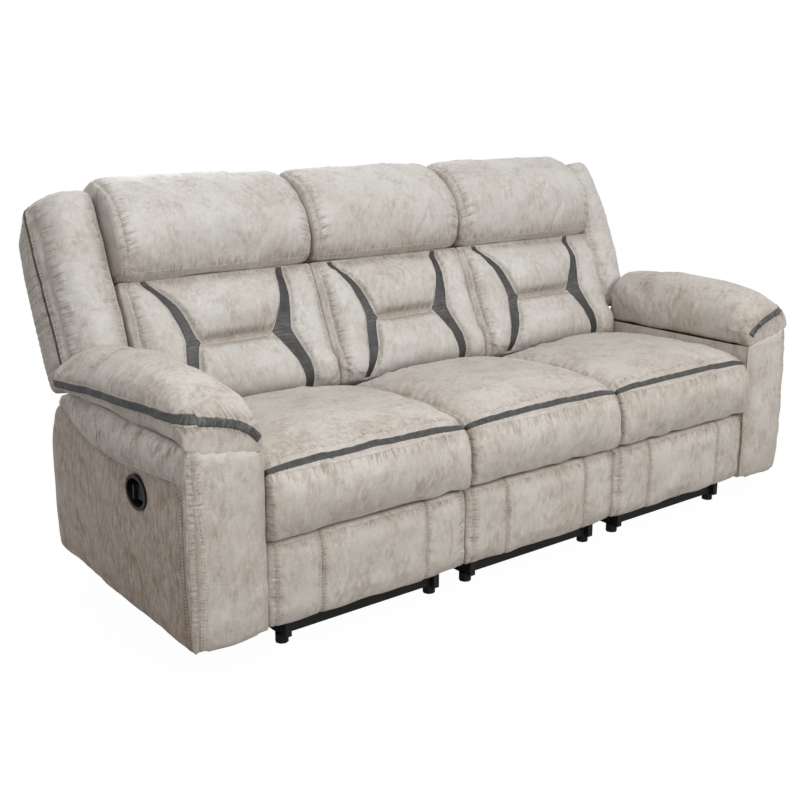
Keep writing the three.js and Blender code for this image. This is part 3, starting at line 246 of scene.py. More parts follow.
def noise(points, size, seed):
    """Seeded value noise from -1 to 1, with patches about size across."""
    scaled = points / size
    cell = np.floor(scaled).astype(np.int64)
    part = scaled - cell
    part = part * part * (3.0 - 2.0 * part)
    total = np.zeros(len(points))
    for corner in range(8):
        step = np.array([corner & 1, corner >> 1 & 1, corner >> 2 & 1])
        weight = np.prod(np.where(step == 1, part, 1.0 - part), axis=1)
        total += weight * hashed(cell + step, seed)
    return total


def line_noise(along, size, seed):
    return noise(np.column_stack([along, np.full_like(along, 0.37), np.full_like(along, 0.71)]), size, seed)


def gathers(away, along, reach, spacing, depth, seed):
    """Depth of the small folds that run away from a gathered seam."""
    phase = along / spacing + 0.7 * line_noise(along, spacing * 2.5, seed)
    fold = 1.0 - np.abs(np.sin(math.pi * phase)) ** 0.7
    strength = 0.55 + 0.45 * line_noise(along, spacing * 3.0, seed + 1)
    length = reach * (0.65 + 0.5 * line_noise(along, spacing * 1.4, seed + 2))
    fade = np.exp(-np.maximum(away, 0.0) / np.maximum(length, reach * 0.15))
    return np.where(away >= 0.0, depth * fold * strength * fade, 0.0)


def seam(away, width, depth):
    return depth * np.exp(-(away / width) ** 2)


def only(zone, away):
    """The distance from a seam inside the zone, and -1, which gathers nothing, outside it."""
    return np.where(zone, away, -1.0)


def gap(value, width):
    """0 at the start of a zone and 1 past its width."""
    return np.clip(value / width, 0.0, 1.0)


# Fold depth at which the painted shade in a crease is at its fullest.
CREASE_DEPTH = 0.0055


def keep(piece, name, values):
    """Stores one number or one vector for each point of the piece."""
    kind, key = ("FLOAT", "value") if values.ndim == 1 else ("FLOAT_VECTOR", "vector")
    layer = piece.data.attributes.get(name) or piece.data.attributes.new(name, kind, "POINT")
    layer.data.foreach_set(key, values.astype(np.float32).ravel())


def gathered(count, runs):
    """Place along the nearest gathered seam and nearness to it, from (along, away, reach) runs."""
    kept = np.zeros((count, 3))
    for along, away, reach in runs:
        near = np.where(away >= -0.001, np.clip(1.0 - away / reach, 0.0, 1.0), 0.0)
        nearer = near > kept[:, 1]
        kept[nearer, 0] = along[nearer]
        kept[nearer, 1] = near[nearer]
    return kept


def sink(piece, folds_of):
    """Moves each point in by its folds and hollows, and keeps how gathered it is there and a crease value
    that the suede turns brown: painted shade where the folds are deep, plus the wear and painted shade that
    the detail gives.
    """
    points = read_points(piece)
    normals = read_points(piece, "normal")
    folds, hollows, wear_and_shade, up, across = folds_of(points, normals)
    write_points(piece, points - normals * (folds + hollows)[:, None])
    keep(piece, "crease", np.clip(np.clip(folds / CREASE_DEPTH, 0.0, 1.0) * 0.5 + wear_and_shade, 0.0, 1.0))
    keep(piece, "gathers_up", gathered(len(points), up))
    keep(piece, "gathers_across", gathered(len(points), across))


def table(values, place):
    """Reads a table of (place, value) pairs, whichever way its places run."""
    places, read = zip(*sorted(values))
    return np.interp(place, places, read)


def back_frame_of(points):
    """Rise along the lean and distance forward of the groove line."""
    local = points - np.array(GROOVE)
    return local @ np.array(RISE), local @ np.array(FORWARD)


def back_place(x, rise, forward):
    place = GROOVE + RISE * rise + FORWARD * forward
    return Vector((x, place.y, place.z))


# Trim laid on a surface: points are cast onto the cover and lifted off it.

def surface_of(piece):
    return BVHTree.FromObject(piece, bpy.context.evaluated_depsgraph_get())


def cast(tree, place, direction, reach=0.4):
    heading = Vector(direction).normalized()
    hit, normal, _, _ = tree.ray_cast(Vector(place) - heading * reach * 0.5, heading, reach)
    if hit is None:
        hit, normal, _, _ = tree.find_nearest(Vector(place))
    return hit, normal


def ribbon(name, tree, rows, direction, ribs, lift=0.0008, thickness=0.0022):
    """A band of trim: a grid laid on the cover row by row, cast along one direction or one for each row."""
    across = len(rows[0])
    piece, flat = new_grid(name, across - 1, len(rows) - 1)
    columns = np.rint((flat[:, 0] + 0.5) * (across - 1)).astype(int)
    lines = np.rint((flat[:, 1] + 0.5) * (len(rows) - 1)).astype(int)
    laid, middles = [], []
    for k, row in enumerate(rows):
        heading = direction[k] if isinstance(direction, list) else direction
        hits = [cast(tree, place, heading) for place in row]
        laid.append([hit + normal * lift for hit, normal in hits])
        middles.append(hits[across // 2])
    write_points(piece, np.array([laid[j][i] for i, j in zip(columns, lines)], dtype=float))
    length = np.cumsum([0.0] + [(b[0] - a[0]).length for a, b in zip(middles, middles[1:])])
    keep(piece, "ribs", np.column_stack([length[lines], np.array(ribs)[lines], columns * 0.01]))
    outward = middles[len(rows) // 2][1]
    if read_points(piece, "normal")[lines == len(rows) // 2].mean(axis=0) @ np.array(outward) < 0:
        piece.data.flip_normals()
    thicken(piece, thickness)
    soft = piece.modifiers.new("Soft", "BEVEL")
    soft.width = thickness * 0.3
    soft.segments = 1
    apply_modifiers(piece)
    smooth_shade(piece)
    return piece


def stitches(name, runs):
    """Short raised stitches along runs of (place, normal) pairs: one is modelled, the rest are copies."""
    s = settings()
    bpy.ops.object.select_all(action="DESELECT")
    bpy.ops.mesh.primitive_ico_sphere_add(subdivisions=1, radius=1.0)
    piece = bpy.context.active_object
    piece.name = name
    one = read_points(piece) * np.array([s.stitch_length / 2.0, s.stitch_radius, s.stitch_radius])
    sides = [tuple(face.vertices) for face in piece.data.polygons]
    places = []
    for run in runs:
        left = 0.0
        for (start, normal), (end, _) in zip(run, run[1:]):
            step = end - start
            length = step.length
            if length < 1e-7:
                continue
            along = step / length
            side = along.cross(normal).normalized()
            up = side.cross(along)
            while left < length:
                places.append((start + along * left + normal * s.stitch_radius * 0.3, along, side, up))
                left += s.stitch_pitch
            left -= length
    vertices = np.concatenate([
        np.array(middle) + one @ np.array([along, side, up]) for middle, along, side, up in places])
    faces = [tuple(v + k * len(one) for v in face) for k in range(len(places)) for face in sides]
    piece.data.clear_geometry()
    piece.data.from_pydata(vertices.tolist(), [], faces)
    piece.data.update()
    smooth_shade(piece, 80.0)
    return piece


# Materials

def add(tree, kind, **values):
    """A shader node with its properties and inputs set by name."""
    node = tree.nodes.new(kind)
    for key, value in values.items():
        if hasattr(node, key):
            setattr(node, key, value)
        else:
            node.inputs[key.replace("_", " ")].default_value = value
    return node


def wire(tree, source, node, name):
    tree.links.new(source, node.inputs[name])


def ramp(tree, factor, *stops):
    """A grey ramp over the factor, from (place, value) stops."""
    node = tree.nodes.new("ShaderNodeValToRGB")
    elements = node.color_ramp.elements
    while len(elements) < len(stops):
        elements.new(0.5)
    for element, (place, value) in zip(elements, stops):
        element.position = place
        element.color = (value, value, value, 1.0)
    tree.links.new(factor, node.inputs["Fac"])
    return node.outputs["Color"]


def noise_node(tree, place, scale, detail=4.0, roughness=0.55, distortion=0.0):
    node = add(
        tree, "ShaderNodeTexNoise", Scale=scale, Detail=detail, Roughness=roughness, Distortion=distortion)
    wire(tree, place, node, "Vector")
    return node.outputs["Fac"]


def turned(tree, place, scale, turn=(0.0, 0.0, 0.0)):
    """The place scaled, and turned by angles in radians."""
    node = add(tree, "ShaderNodeMapping")
    node.inputs["Rotation"].default_value = turn
    node.inputs["Scale"].default_value = scale
    wire(tree, place, node, "Vector")
    return node.outputs["Vector"]


def blend_colours(tree, factor, first, second, kind="MIX"):
    node = tree.nodes.new("ShaderNodeMix")
    node.data_type = "RGBA"
    node.blend_type = kind
    if isinstance(factor, float):
        node.inputs[0].default_value = factor
    else:
        tree.links.new(factor, node.inputs[0])
    for socket, value in ((6, first), (7, second)):
        if isinstance(value, (tuple, list)):
            node.inputs[socket].default_value = value
        else:
            tree.links.new(value, node.inputs[socket])
    return node.outputs[2]


def reckon(tree, operation, first, second):
    node = tree.nodes.new("ShaderNodeMath")
    node.operation = operation
    for socket, value in enumerate((first, second)):
        if isinstance(value, (int, float)):
            node.inputs[socket].default_value = value
        else:
            tree.links.new(value, node.inputs[socket])
    return node.outputs[0]


def times(tree, first, second):
    return reckon(tree, "MULTIPLY", first, second)


def plus(tree, first, second):
    return reckon(tree, "ADD", first, second)


def between(tree, share, low, high):
    """The value a share of the way from low to high."""
    node = add(tree, "ShaderNodeMapRange")
    node.inputs["To Min"].default_value = low
    node.inputs["To Max"].default_value = high
    wire(tree, share, node, "Value")
    return node.outputs["Result"]


def new_group(name, inputs, outputs):
    tree = bpy.data.node_groups.new(name, "ShaderNodeTree")
    for socket, kind in inputs:
        tree.interface.new_socket(name=socket, in_out="INPUT", socket_type=kind)
    for socket, kind in outputs:
        tree.interface.new_socket(name=socket, in_out="OUTPUT", socket_type=kind)
    return tree, tree.nodes.new("NodeGroupInput"), tree.nodes.new("NodeGroupOutput")


def fold_mask(tree, gathers_at, shift):
    """Painted shade of short folds beside a gathered seam, also used for their bump: close together along it,
    fading away from it.
    """
    parts = tree.nodes.new("ShaderNodeSeparateXYZ")
    wire(tree, gathers_at, parts, "Vector")
    along, near = parts.outputs["X"], parts.outputs["Y"]
    line = tree.nodes.new("ShaderNodeCombineXYZ")
    wire(tree, along, line, "X")
    wire(tree, times(tree, near, 0.006), line, "Y")
    line.inputs["Z"].default_value = shift
    folds = ramp(tree, noise_node(tree, line.outputs["Vector"], 175.0, 2.0, 0.5), (0.49, 0.0), (0.64, 1.0))
    lengths = noise_node(tree, line.outputs["Vector"], 110.0, 1.0, 0.5)
    reach = plus(tree, near, times(tree, reckon(tree, "SUBTRACT", lengths, 0.5), 0.9))
    fade = times(tree, ramp(tree, reach, (0.25, 0.0), (1.0, 1.0)), ramp(tree, near, (0.0, 0.0), (0.3, 1.0)))
    return times(tree, folds, fade)


def suede_group():
    """Worn suede: a pale nap with clustered brown flecks and brushed streaks, brown painted shade in its
    creases, folds and tucks, and a tint, which on the side suede is a painted shade.
    """
    colour, value = "NodeSocketColor", "NodeSocketFloat"
    tree, given, made = new_group(
        "suede_wear_and_shade",
        (("Place", "NodeSocketVector"), ("Light", colour), ("Tan", colour), ("Brown", colour),
         ("Tint", colour), ("Stain", value), ("Streak", value), ("Crease", value), ("Ledge", value),
         ("Gathers Up", "NodeSocketVector"), ("Gathers Across", "NodeSocketVector")),
        (("Color", colour), ("Roughness", value), ("Height", value)))
    place = given.outputs["Place"]
    panel = reckon(tree, "SUBTRACT", 1.0, given.outputs["Ledge"])
    brushed = turned(tree, place, (1.0, 1.0, 0.45), (math.radians(25.0), math.radians(30.0), 0.0))
    clouds = noise_node(tree, place, 5.5, 4.0, 0.55)
    clusters = noise_node(tree, place, 15.0, 5.0, 0.6, 0.2)
    flecks = noise_node(tree, brushed, 78.0, 6.0, 0.72)
    specks = noise_node(tree, place, 250.0, 3.0, 0.65)
    slanted = turned(tree, place, (1.0, 1.0, 0.24), (math.radians(-18.0), 0.0, 0.0))
    runs = noise_node(tree, slanted, 120.0, 5.0, 0.7, 0.2)
    nap = noise_node(tree, place, 520.0, 2.0, 0.6)
    base = blend_colours(
        tree, ramp(tree, clouds, (0.34, 0.0), (0.66, 1.0)), given.outputs["Light"], given.outputs["Tan"])
    mottle = times(tree, ramp(tree, clusters, (0.36, 0.12), (0.62, 1.0)),
                   ramp(tree, flecks, (0.43, 0.0), (0.6, 0.8), (0.75, 1.0)))
    mottle = plus(tree, mottle, times(tree, ramp(tree, clusters, (0.5, 0.0), (0.75, 1.0)), 0.35))
    worn = times(tree, mottle, given.outputs["Stain"])
    stained = blend_colours(tree, worn, base, given.outputs["Brown"])
    streaks = times(tree, ramp(tree, runs, (0.42, 0.0), (0.60, 1.0)), given.outputs["Streak"])
    streaks = times(tree, streaks, panel)
    streaked = blend_colours(tree, streaks, stained, given.outputs["Brown"])
    rubbed = times(tree, ramp(tree, flecks, (0.32, 1.0), (0.46, 0.0)), 0.55)
    lighter = blend_colours(tree, rubbed, streaked, given.outputs["Light"])
    # The crease value turns the colour brown: painted shade in deep folds, tucks and crevices, mixed with
    # wear beside seams.
    crease_shade_and_wear = times(tree, given.outputs["Crease"], ramp(tree, flecks, (0.25, 0.45), (0.6, 1.0)))
    creased = blend_colours(tree, times(tree, crease_shade_and_wear, 0.7), lighter, given.outputs["Brown"])
    # Painted shade: the short folds beside gathered seams are drawn as dark brown lines.
    fold = reckon(tree, "MAXIMUM", fold_mask(tree, given.outputs["Gathers Up"], 0.0),
                  fold_mask(tree, given.outputs["Gathers Across"], 3.7))
    creased = blend_colours(tree, times(tree, fold, 0.8), creased, given.outputs["Brown"])
    # The tint darkens the colour everywhere except on the ledge; on the side suede this is a painted shade.
    creased = blend_colours(tree, panel, creased, given.outputs["Tint"], "MULTIPLY")
    speckled = blend_colours(tree, 0.22, creased, ramp(tree, specks, (0.34, 0.45), (0.56, 1.0)), "MULTIPLY")
    grained = blend_colours(tree, 0.10, speckled, ramp(tree, nap, (0.3, 0.3), (0.7, 1.0)), "MULTIPLY")
    wire(tree, grained, made, "Color")
    wire(tree, between(tree, mottle, 0.5, 0.72), made, "Roughness")
    relief = times(tree, nap, 0.08)
    relief = plus(tree, relief, times(tree, specks, 0.10))
    relief = plus(tree, relief, times(tree, flecks, 0.20))
    relief = reckon(tree, "SUBTRACT", relief, fold)
    wire(tree, relief, made, "Height")


def satin_group():
    """Ribbed satin trim: fine ribs and patches lightened towards a sheen colour, which is a painted sheen,
    and a soft shine.
    """
    colour, value = "NodeSocketColor", "NodeSocketFloat"
    tree, given, made = new_group(
        "satin_trim",
        (("Place", "NodeSocketVector"), ("Shade", colour), ("Sheen", colour), ("Fade", value),
         ("Ribs", "NodeSocketVector")),
        (("Color", colour), ("Roughness", value), ("Height", value)))
    place = given.outputs["Place"]
    parts = tree.nodes.new("ShaderNodeSeparateXYZ")
    wire(tree, given.outputs["Ribs"], parts, "Vector")
    line = tree.nodes.new("ShaderNodeCombineXYZ")
    wire(tree, parts.outputs["X"], line, "X")
    wire(tree, times(tree, parts.outputs["Z"], 0.12), line, "Y")
    ribs = times(tree, parts.outputs["Y"], ramp(
        tree, noise_node(tree, line.outputs["Vector"], 150.0, 2.0, 0.6), (0.40, 0.0), (0.62, 1.0)))
    patches = noise_node(tree, place, 38.0, 4.0, 0.6, 0.3)
    threads = noise_node(tree, place, 900.0, 2.0, 0.5)
    # Painted sheen: patches and then the ribs are lightened towards the sheen colour.
    lighter = blend_colours(
        tree, times(tree, ramp(tree, patches, (0.35, 0.0), (0.7, 1.0)), given.outputs["Fade"]),
        given.outputs["Shade"], given.outputs["Sheen"])
    lighter = blend_colours(tree, times(tree, ribs, 0.75), lighter, given.outputs["Sheen"])
    woven = blend_colours(tree, 0.35, lighter, ramp(tree, threads, (0.3, 0.3), (0.7, 1.0)), "MULTIPLY")
    wire(tree, woven, made, "Color")
    wire(tree, between(tree, patches, 0.36, 0.56), made, "Roughness")
    relief = plus(tree, times(tree, threads, 0.3), patches)
    wire(tree, plus(tree, relief, times(tree, ribs, 1.6)), made, "Height")


def grained_group():
    """Even hard surfaces: a base shade with faint mottling, scuffs and a fine texture."""
    colour, value = "NodeSocketColor", "NodeSocketFloat"
    tree, given, made = new_group(
        "grained_surface",
        (("Place", "NodeSocketVector"), ("Shade", colour), ("Second", colour), ("Grain", value),
         ("Amount", value), ("Gloss", value)),
        (("Color", colour), ("Roughness", value), ("Height", value)))
    node = add(tree, "ShaderNodeTexNoise", Detail=6.0, Roughness=0.65, Distortion=0.4)
    wire(tree, given.outputs["Place"], node, "Vector")
    wire(tree, given.outputs["Grain"], node, "Scale")
    fine = noise_node(tree, given.outputs["Place"], 700.0, 2.0, 0.5)
    amount = times(tree, ramp(tree, node.outputs["Fac"], (0.42, 0.0), (0.62, 1.0)), given.outputs["Amount"])
    wire(tree, blend_colours(tree, amount, given.outputs["Shade"], given.outputs["Second"]), made, "Color")
    wire(tree, plus(tree, given.outputs["Gloss"], times(tree, node.outputs["Fac"], 0.2)), made, "Roughness")
    wire(tree, plus(tree, times(tree, fine, 0.5), node.outputs["Fac"]), made, "Height")


def surfaced(name, tree_name, values, bump, distance, stretch=(1.0, 1.0, 1.0), **shading):
    """A material whose shader is fed by one of the shared groups."""
    material = bpy.data.materials.new(name)
    material.use_nodes = True
    tree = material.node_tree
    shader = tree.nodes["Principled BSDF"]
    place = tree.nodes.new("ShaderNodeTexCoord").outputs["Object"]
    group = tree.nodes.new("ShaderNodeGroup")
    group.node_tree = bpy.data.node_groups[tree_name]
    wire(tree, turned(tree, place, stretch), group, "Place")
    for socket, kind in (("Crease", "Fac"), ("Ledge", "Fac"), ("Ribs", "Vector"),
                         ("Gathers Up", "Vector"), ("Gathers Across", "Vector")):
        if socket in group.inputs:
            source = tree.nodes.new("ShaderNodeAttribute")
            source.attribute_name = socket.lower().replace(" ", "_")
            wire(tree, source.outputs[kind], group, socket)
    for key, value in values.items():
        group.inputs[key].default_value = value
    wire(tree, group.outputs["Color"], shader, "Base Color")
    wire(tree, group.outputs["Roughness"], shader, "Roughness")
    relief = add(tree, "ShaderNodeBump", Strength=bump, Distance=distance)
    wire(tree, group.outputs["Height"], relief, "Height")
    wire(tree, relief.outputs["Normal"], shader, "Normal")
    for key, value in shading.items():
        shader.inputs[key.replace("_", " ")].default_value = value
    return material


MATERIALS = {}


def make_materials():
    s = settings()
    suede_group()
    satin_group()
    grained_group()
    light, tan, brown = tuple(s.suede_light), tuple(s.suede_tan), tuple(s.suede_brown)

    def suede(name, stain, streak, tint=(1.0, 1.0, 1.0, 1.0)):
        return surfaced(
            name, "suede_wear_and_shade",
            {"Light": light, "Tan": tan, "Brown": brown, "Tint": tint, "Stain": stain, "Streak": streak},
            0.5, 0.0025, Sheen_Weight=0.15, Sheen_Roughness=0.4, Specular_IOR_Level=0.42)

    def grained(name, shade, second, grain, amount, gloss, bump, distance, **rest):
        return surfaced(
            name, "grained_surface",
            {"Shade": shade, "Second": srgb(*second), "Grain": grain, "Amount": amount, "Gloss": gloss},
            bump, distance, **rest)

    MATERIALS["smooth_suede"] = suede("suede_smooth", 0.42, 0.0)
    MATERIALS["suede"] = suede("suede", 0.52, 0.0, srgb(252, 249, 246))
    # The side suede is the suede with stronger stains and streaks and a darker tint, which is a painted
    # shade.
    MATERIALS["side"] = suede("suede_side_shaded", 0.95, 0.7, srgb(238, 228, 220))
    # The satin's sheen colour is a painted sheen on its ribs and patches.
    MATERIALS["accent"] = surfaced(
        "satin_accent", "satin_trim",
        {"Shade": tuple(s.accent), "Sheen": srgb(112, 111, 110), "Fade": 0.25}, 0.5, 0.0008,
        Sheen_Weight=0.05, Specular_IOR_Level=0.35)
    MATERIALS["thread"] = grained("thread", tuple(s.thread), (200, 190, 174), 300.0, 0.6, 0.5, 0.3, 0.0003)
    MATERIALS["wood"] = grained(
        "birch_board", srgb(205, 172, 128), (170, 130, 86), 14.0, 0.7, 0.5, 0.3, 0.0006,
        stretch=(1.0, 6.0, 6.0))
    MATERIALS["steel"] = grained(
        "painted_steel", srgb(17, 17, 18), (32, 31, 31), 45.0, 0.5, 0.42, 0.25, 0.0003,
        Specular_IOR_Level=0.3)
    MATERIALS["plastic"] = grained(
        "moulded_plastic", srgb(13, 13, 14), (24, 24, 25), 120.0, 0.35, 0.34, 0.3, 0.0003,
        Specular_IOR_Level=0.35)


def finish_piece(piece, body, material):
    piece.data.materials.clear()
    piece.data.materials.append(MATERIALS[material])
    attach(piece, body)


# Places of the three units across the sofa, read from the frame

def span(node):
    low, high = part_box(node)
    return (low.x + high.x) / 2.0, (high.x - low.x) / 2.0


UNIT = {name: span(f"{name}_seat_cushion") for name in UNITS}


def own_copy(piece, name):
    """A copy of the piece with its own mesh."""
    twin = piece.copy()
    twin.data = piece.data.copy()
    twin.name = name
    bpy.context.scene.collection.objects.link(twin)
    return twin


def placed_copy(piece, name, source, target):
    """A copy of a unit's piece, stretched and moved across to another unit."""
    twin = own_copy(piece, name)
    points = read_points(twin)
    (centre, half), (new_centre, new_half) = UNIT[source], UNIT[target]
    points[:, 0] = (points[:, 0] - centre) * new_half / half + new_centre
    write_points(twin, points)
    return twin


def mirrored_copy(piece, name):
    """A copy of the piece on the sofa's other side."""
    twin = own_copy(piece, name)
    points = read_points(twin)
    points[:, 0] *= -1.0
    write_points(twin, points)
    twin.data.flip_normals()
    return twin


def in_all_units(first, what):
    """The left unit's piece with its copies in the other two units."""
    made = {"left": first}
    for unit in ("middle", "right"):
        made[unit] = placed_copy(first, f"{unit}_{what}", "left", unit)
    return made


def finish_cover(cover, node, body, material):
    """Shades the cover smooth, hides its CAD solid so that the cover takes its place, and gives it its
    material and its body.
    """
    smooth_shade(cover)
    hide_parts(node)
    finish_piece(cover, body, material)


def kept_in_unit(piece, unit, slack=0.0004):
    """Presses the piece flat where the filling has pushed it past its unit's sides."""
    centre, half = UNIT[unit]
    points = read_points(piece)
    points[:, 0] = np.clip(points[:, 0], centre - half - slack, centre + half + slack)
    write_points(piece, points)


UNIT_SEED = 11
UNIT_SEED_STEP = 17


def padded_unit(what, node_of, voxel, rounds, held, cap, detail, body_of, material="suede"):
    """One kind of cushion for all three units: filled once, then copied and given its own folds."""
    first = merged_copy(node_of("left"), f"left_{what}")
    remesh(first, voxel, rounds)
    puff(first, held, cap)
    made = in_all_units(first, what)
    for k, (unit, piece) in enumerate(made.items()):
        refine(piece)
        detail(piece, unit, UNIT_SEED + UNIT_SEED_STEP * k)
        kept_in_unit(piece, unit)
        finish_cover(piece, node_of(unit), body_of[unit], material)
    return made


# Seat cushions

SEAT_SEAM_Z = 0.474
SEAT_TOP_Y = -0.478


def seat_detail(piece, unit, seed):
    centre, half = UNIT[unit]

    def folds(points, normals):
        x, y, z = points.T
        inset = half - np.abs(x - centre)
        front = gap(-0.45 - y, 0.02)
        top = gap(z - 0.462, 0.02) * gap(y - SEAT_TOP_Y, 0.004)
        down = only(y < -0.465, SEAT_SEAM_Z - z)
        back = y - SEAT_TOP_Y
        folded = gathers(down, x, 0.030, 0.0150, 0.0055, seed) * front
        folded += front * seam(z - SEAT_SEAM_Z, 0.005, 0.003)
        folded += top * (gathers(back, x, 0.02, 0.026, 0.0018, seed + 5) + seam(inset - 0.013, 0.004, 0.003)
                         + gathers(inset - 0.015, y, 0.022, 0.026, 0.003, seed + 9))
        hollow = top * 0.005 * noise(points, 0.17, seed + 2) + 0.0022 * noise(points, 0.06, seed + 3)
        hollow += front * 0.0026 * noise(points * np.array([1.0, 1.0, 0.5]), 0.05, seed + 4)
        # The seat is crowned, and its rear edge stands up against the back cushion.
        crown = np.clip(1.0 - ((x - centre) / half) ** 2, 0.0, 1.0)
        hollow -= top * (0.006 * crown + (0.006 + 0.020 * crown) * gap(y + 0.06, 0.09))
        # Darker at the sides and low on the front: painted shade where the seat meets its neighbours and the
        # footrest; along the front seam it is darker as wear.
        wear_and_shade = front * (seam(z - 0.33, 0.05, 0.16) + seam(down, 0.02, 0.14)) + seam(inset, 0.022, 0.3)
        up = [(y, only(top > 0.5, inset - 0.006), 0.035), (z, only(front > 0.5, inset), 0.02)]
        across = [(x, only(front > 0.5, down - 0.012), 0.042),
                  (x, only(top > 0.5, back - 0.012), 0.022)]
        return folded, hollow, wear_and_shade, up, across

    sink(piece, folds)


def seat_held(points):
    x, y, z = points.T
    centre, half = UNIT["left"]
    near_side = np.abs(x - centre) > half - 0.006
    out_of_sight = (z < 0.305) | (y > 0.045) | ((y > -0.43) & (z < 0.405))
    return near_side | out_of_sight | (np.abs(z - SEAT_SEAM_Z) < 0.004)


# Back cushions: an upper and a lower pillow between two curved strips, and a bolster at each side

CUSHION_LOW, CUSHION_HIGH = 0.010, 0.3886
WAIST = 0.478

# A strip's two edges up the cushion, as shares of the half width, for the left and the right strip.
STRIP_V = (0.0, 0.08, 0.16, 0.24, 0.32, 0.40, 0.445, 0.478, 0.51, 0.56, 0.62, 0.70, 0.78, 0.86, 0.94, 1.0)
STRIP_OUTER = {
    -1.0: (0.715, 0.675, 0.645, 0.620, 0.592, 0.572, 0.562, 0.554,
           0.552, 0.558, 0.575, 0.605, 0.640, 0.690, 0.760, 0.810),
    1.0: (0.672, 0.682, 0.677, 0.663, 0.632, 0.592, 0.570, 0.558,
          0.558, 0.572, 0.592, 0.612, 0.630, 0.645, 0.660, 0.672)}
STRIP_INNER = {
    -1.0: (0.660, 0.597, 0.545, 0.508, 0.478, 0.455, 0.438, 0.408,
           0.440, 0.462, 0.480, 0.512, 0.558, 0.620, 0.700, 0.755),
    1.0: (0.590, 0.588, 0.566, 0.528, 0.472, 0.405, 0.368, 0.345,
          0.370, 0.408, 0.448, 0.496, 0.532, 0.560, 0.588, 0.610)}


def strip_edges(v, side):
    """Outer and inner edge of a back cushion's left (-1) or right (1) strip."""
    return np.interp(v, STRIP_V, STRIP_OUTER[side]), np.interp(v, STRIP_V, STRIP_INNER[side])


def cushion_shares(points, unit):
    centre, half = UNIT[unit]
    rise, forward = back_frame_of(points)
    return (points[:, 0] - centre) / half, (rise - CUSHION_LOW) / (CUSHION_HIGH - CUSHION_LOW), forward


def back_detail(piece, unit, seed):
    _, half = UNIT[unit]
    tall = CUSHION_HIGH - CUSHION_LOW

    def folds(points, normals):
        u, v, forward = cushion_shares(points, unit)
        v = np.clip(v, 0.0, 1.0)
        facing = np.clip(normals @ np.array(FORWARD) * 1.4, 0.0, 1.0) * gap(forward + 0.008, 0.02)
        outer, inner = np.where(u < 0.0, strip_edges(v, -1.0), strip_edges(v, 1.0))
        width, x, rows = np.abs(u), points[:, 0], v * tall
        inward, outward = (inner - width) * half, (width - outer) * half
        within, beyond = gap(inward, 0.012), gap(outward, 0.012)
        cross = rows - WAIST * tall
        inset = (1.0 - width) * half
        folded = within * (seam(cross, 0.005, 0.004)
                           + gathers(np.abs(cross) - 0.005, x, 0.034, 0.026, 0.007, seed))
        folded += within * gathers(inward, rows + 0.3 * x, 0.022, 0.02, 0.0045, seed + 3)
        folded += beyond * gathers(outward, rows, 0.022, 0.022, 0.004, seed + 5)
        folded += seam(inset - 0.018, 0.004, 0.0035)
        folded += gathers(inset - 0.019, rows, 0.026, 0.017, 0.005, seed + 7)
        folded += gathers(0.017 - inset, rows, 0.012, 0.014, 0.003, seed + 6)
        folded += gathers(rows - 0.004, x, 0.03, 0.03, 0.005, seed + 8)
        folded += gathers(tall - rows - 0.004, x, 0.034, 0.026, 0.006, seed + 9)
        # The strips lie in a channel, and the pillows swell between the cross seam and the ends.
        hollow = 0.009 * (1.0 - within) * (1.0 - beyond) + within * seam(cross, 0.016, 0.017)
        share = np.where(v > WAIST, (v - WAIST) / (1.0 - WAIST), (WAIST - v) / WAIST)
        across = np.clip(1.0 - (width / np.maximum(inner, 0.05)) ** 2, 0.0, 1.0) ** 0.5
        hollow -= within * 0.013 * np.sin(math.pi * np.clip(share, 0.0, 1.0)) ** 0.7 * across
        hollow -= beyond * 0.009 * np.sin(math.pi * np.clip((width - outer) / (1.0 - outer), 0.0, 1.0))
        hollow += seam(tall - rows, 0.03, 0.012) + seam(rows, 0.02, 0.006) + seam(inset, 0.02, 0.005)
        hollow += 0.003 * noise(points, 0.075, seed + 1) + 0.0014 * noise(points, 0.03, seed + 2)
        # Painted shade: darker at the sides where the cushions meet and at the top edge tucked under the
        # headrest, and a painted shadow along the cross seam where the upper pillow overhangs it, reaching
        # farther up than down.
        wear_and_shade = 0.45 * seam(inset, 0.025, 1.0) + 0.35 * seam(tall - rows, 0.03, 1.0)
        wear_and_shade += within * 0.4 * np.where(cross > 0, seam(cross, 0.03, 1.0), seam(cross, 0.012, 1.0))
        # The foot of the cushion is full, and hangs over the seat's rear edge.
        hollow -= 0.015 * seam(rows - 0.045, 0.05, 1.0)
        side = only(facing > 0.3, inset - 0.018)
        up = [(rows, side, 0.034), (rows, only(within > 0.3, inward), 0.024),
              (rows, only(beyond > 0.3, outward), 0.02)]
        across = [(x, only(within > 0.6, np.abs(cross) - 0.007), 0.03), (x, tall - rows - 0.004, 0.036)]
        return folded * facing, hollow * facing, wear_and_shade, up, across

    sink(piece, folds)


def back_held(points):
    u, v, forward = cushion_shares(points, "left")
    return (forward < -0.02) | (np.abs(u) > 0.985) | (v < 0.03) | (v > 0.97)


# Headrests: rolls with gathered ends over the top of the back

HEADREST_LOW = 0.3906


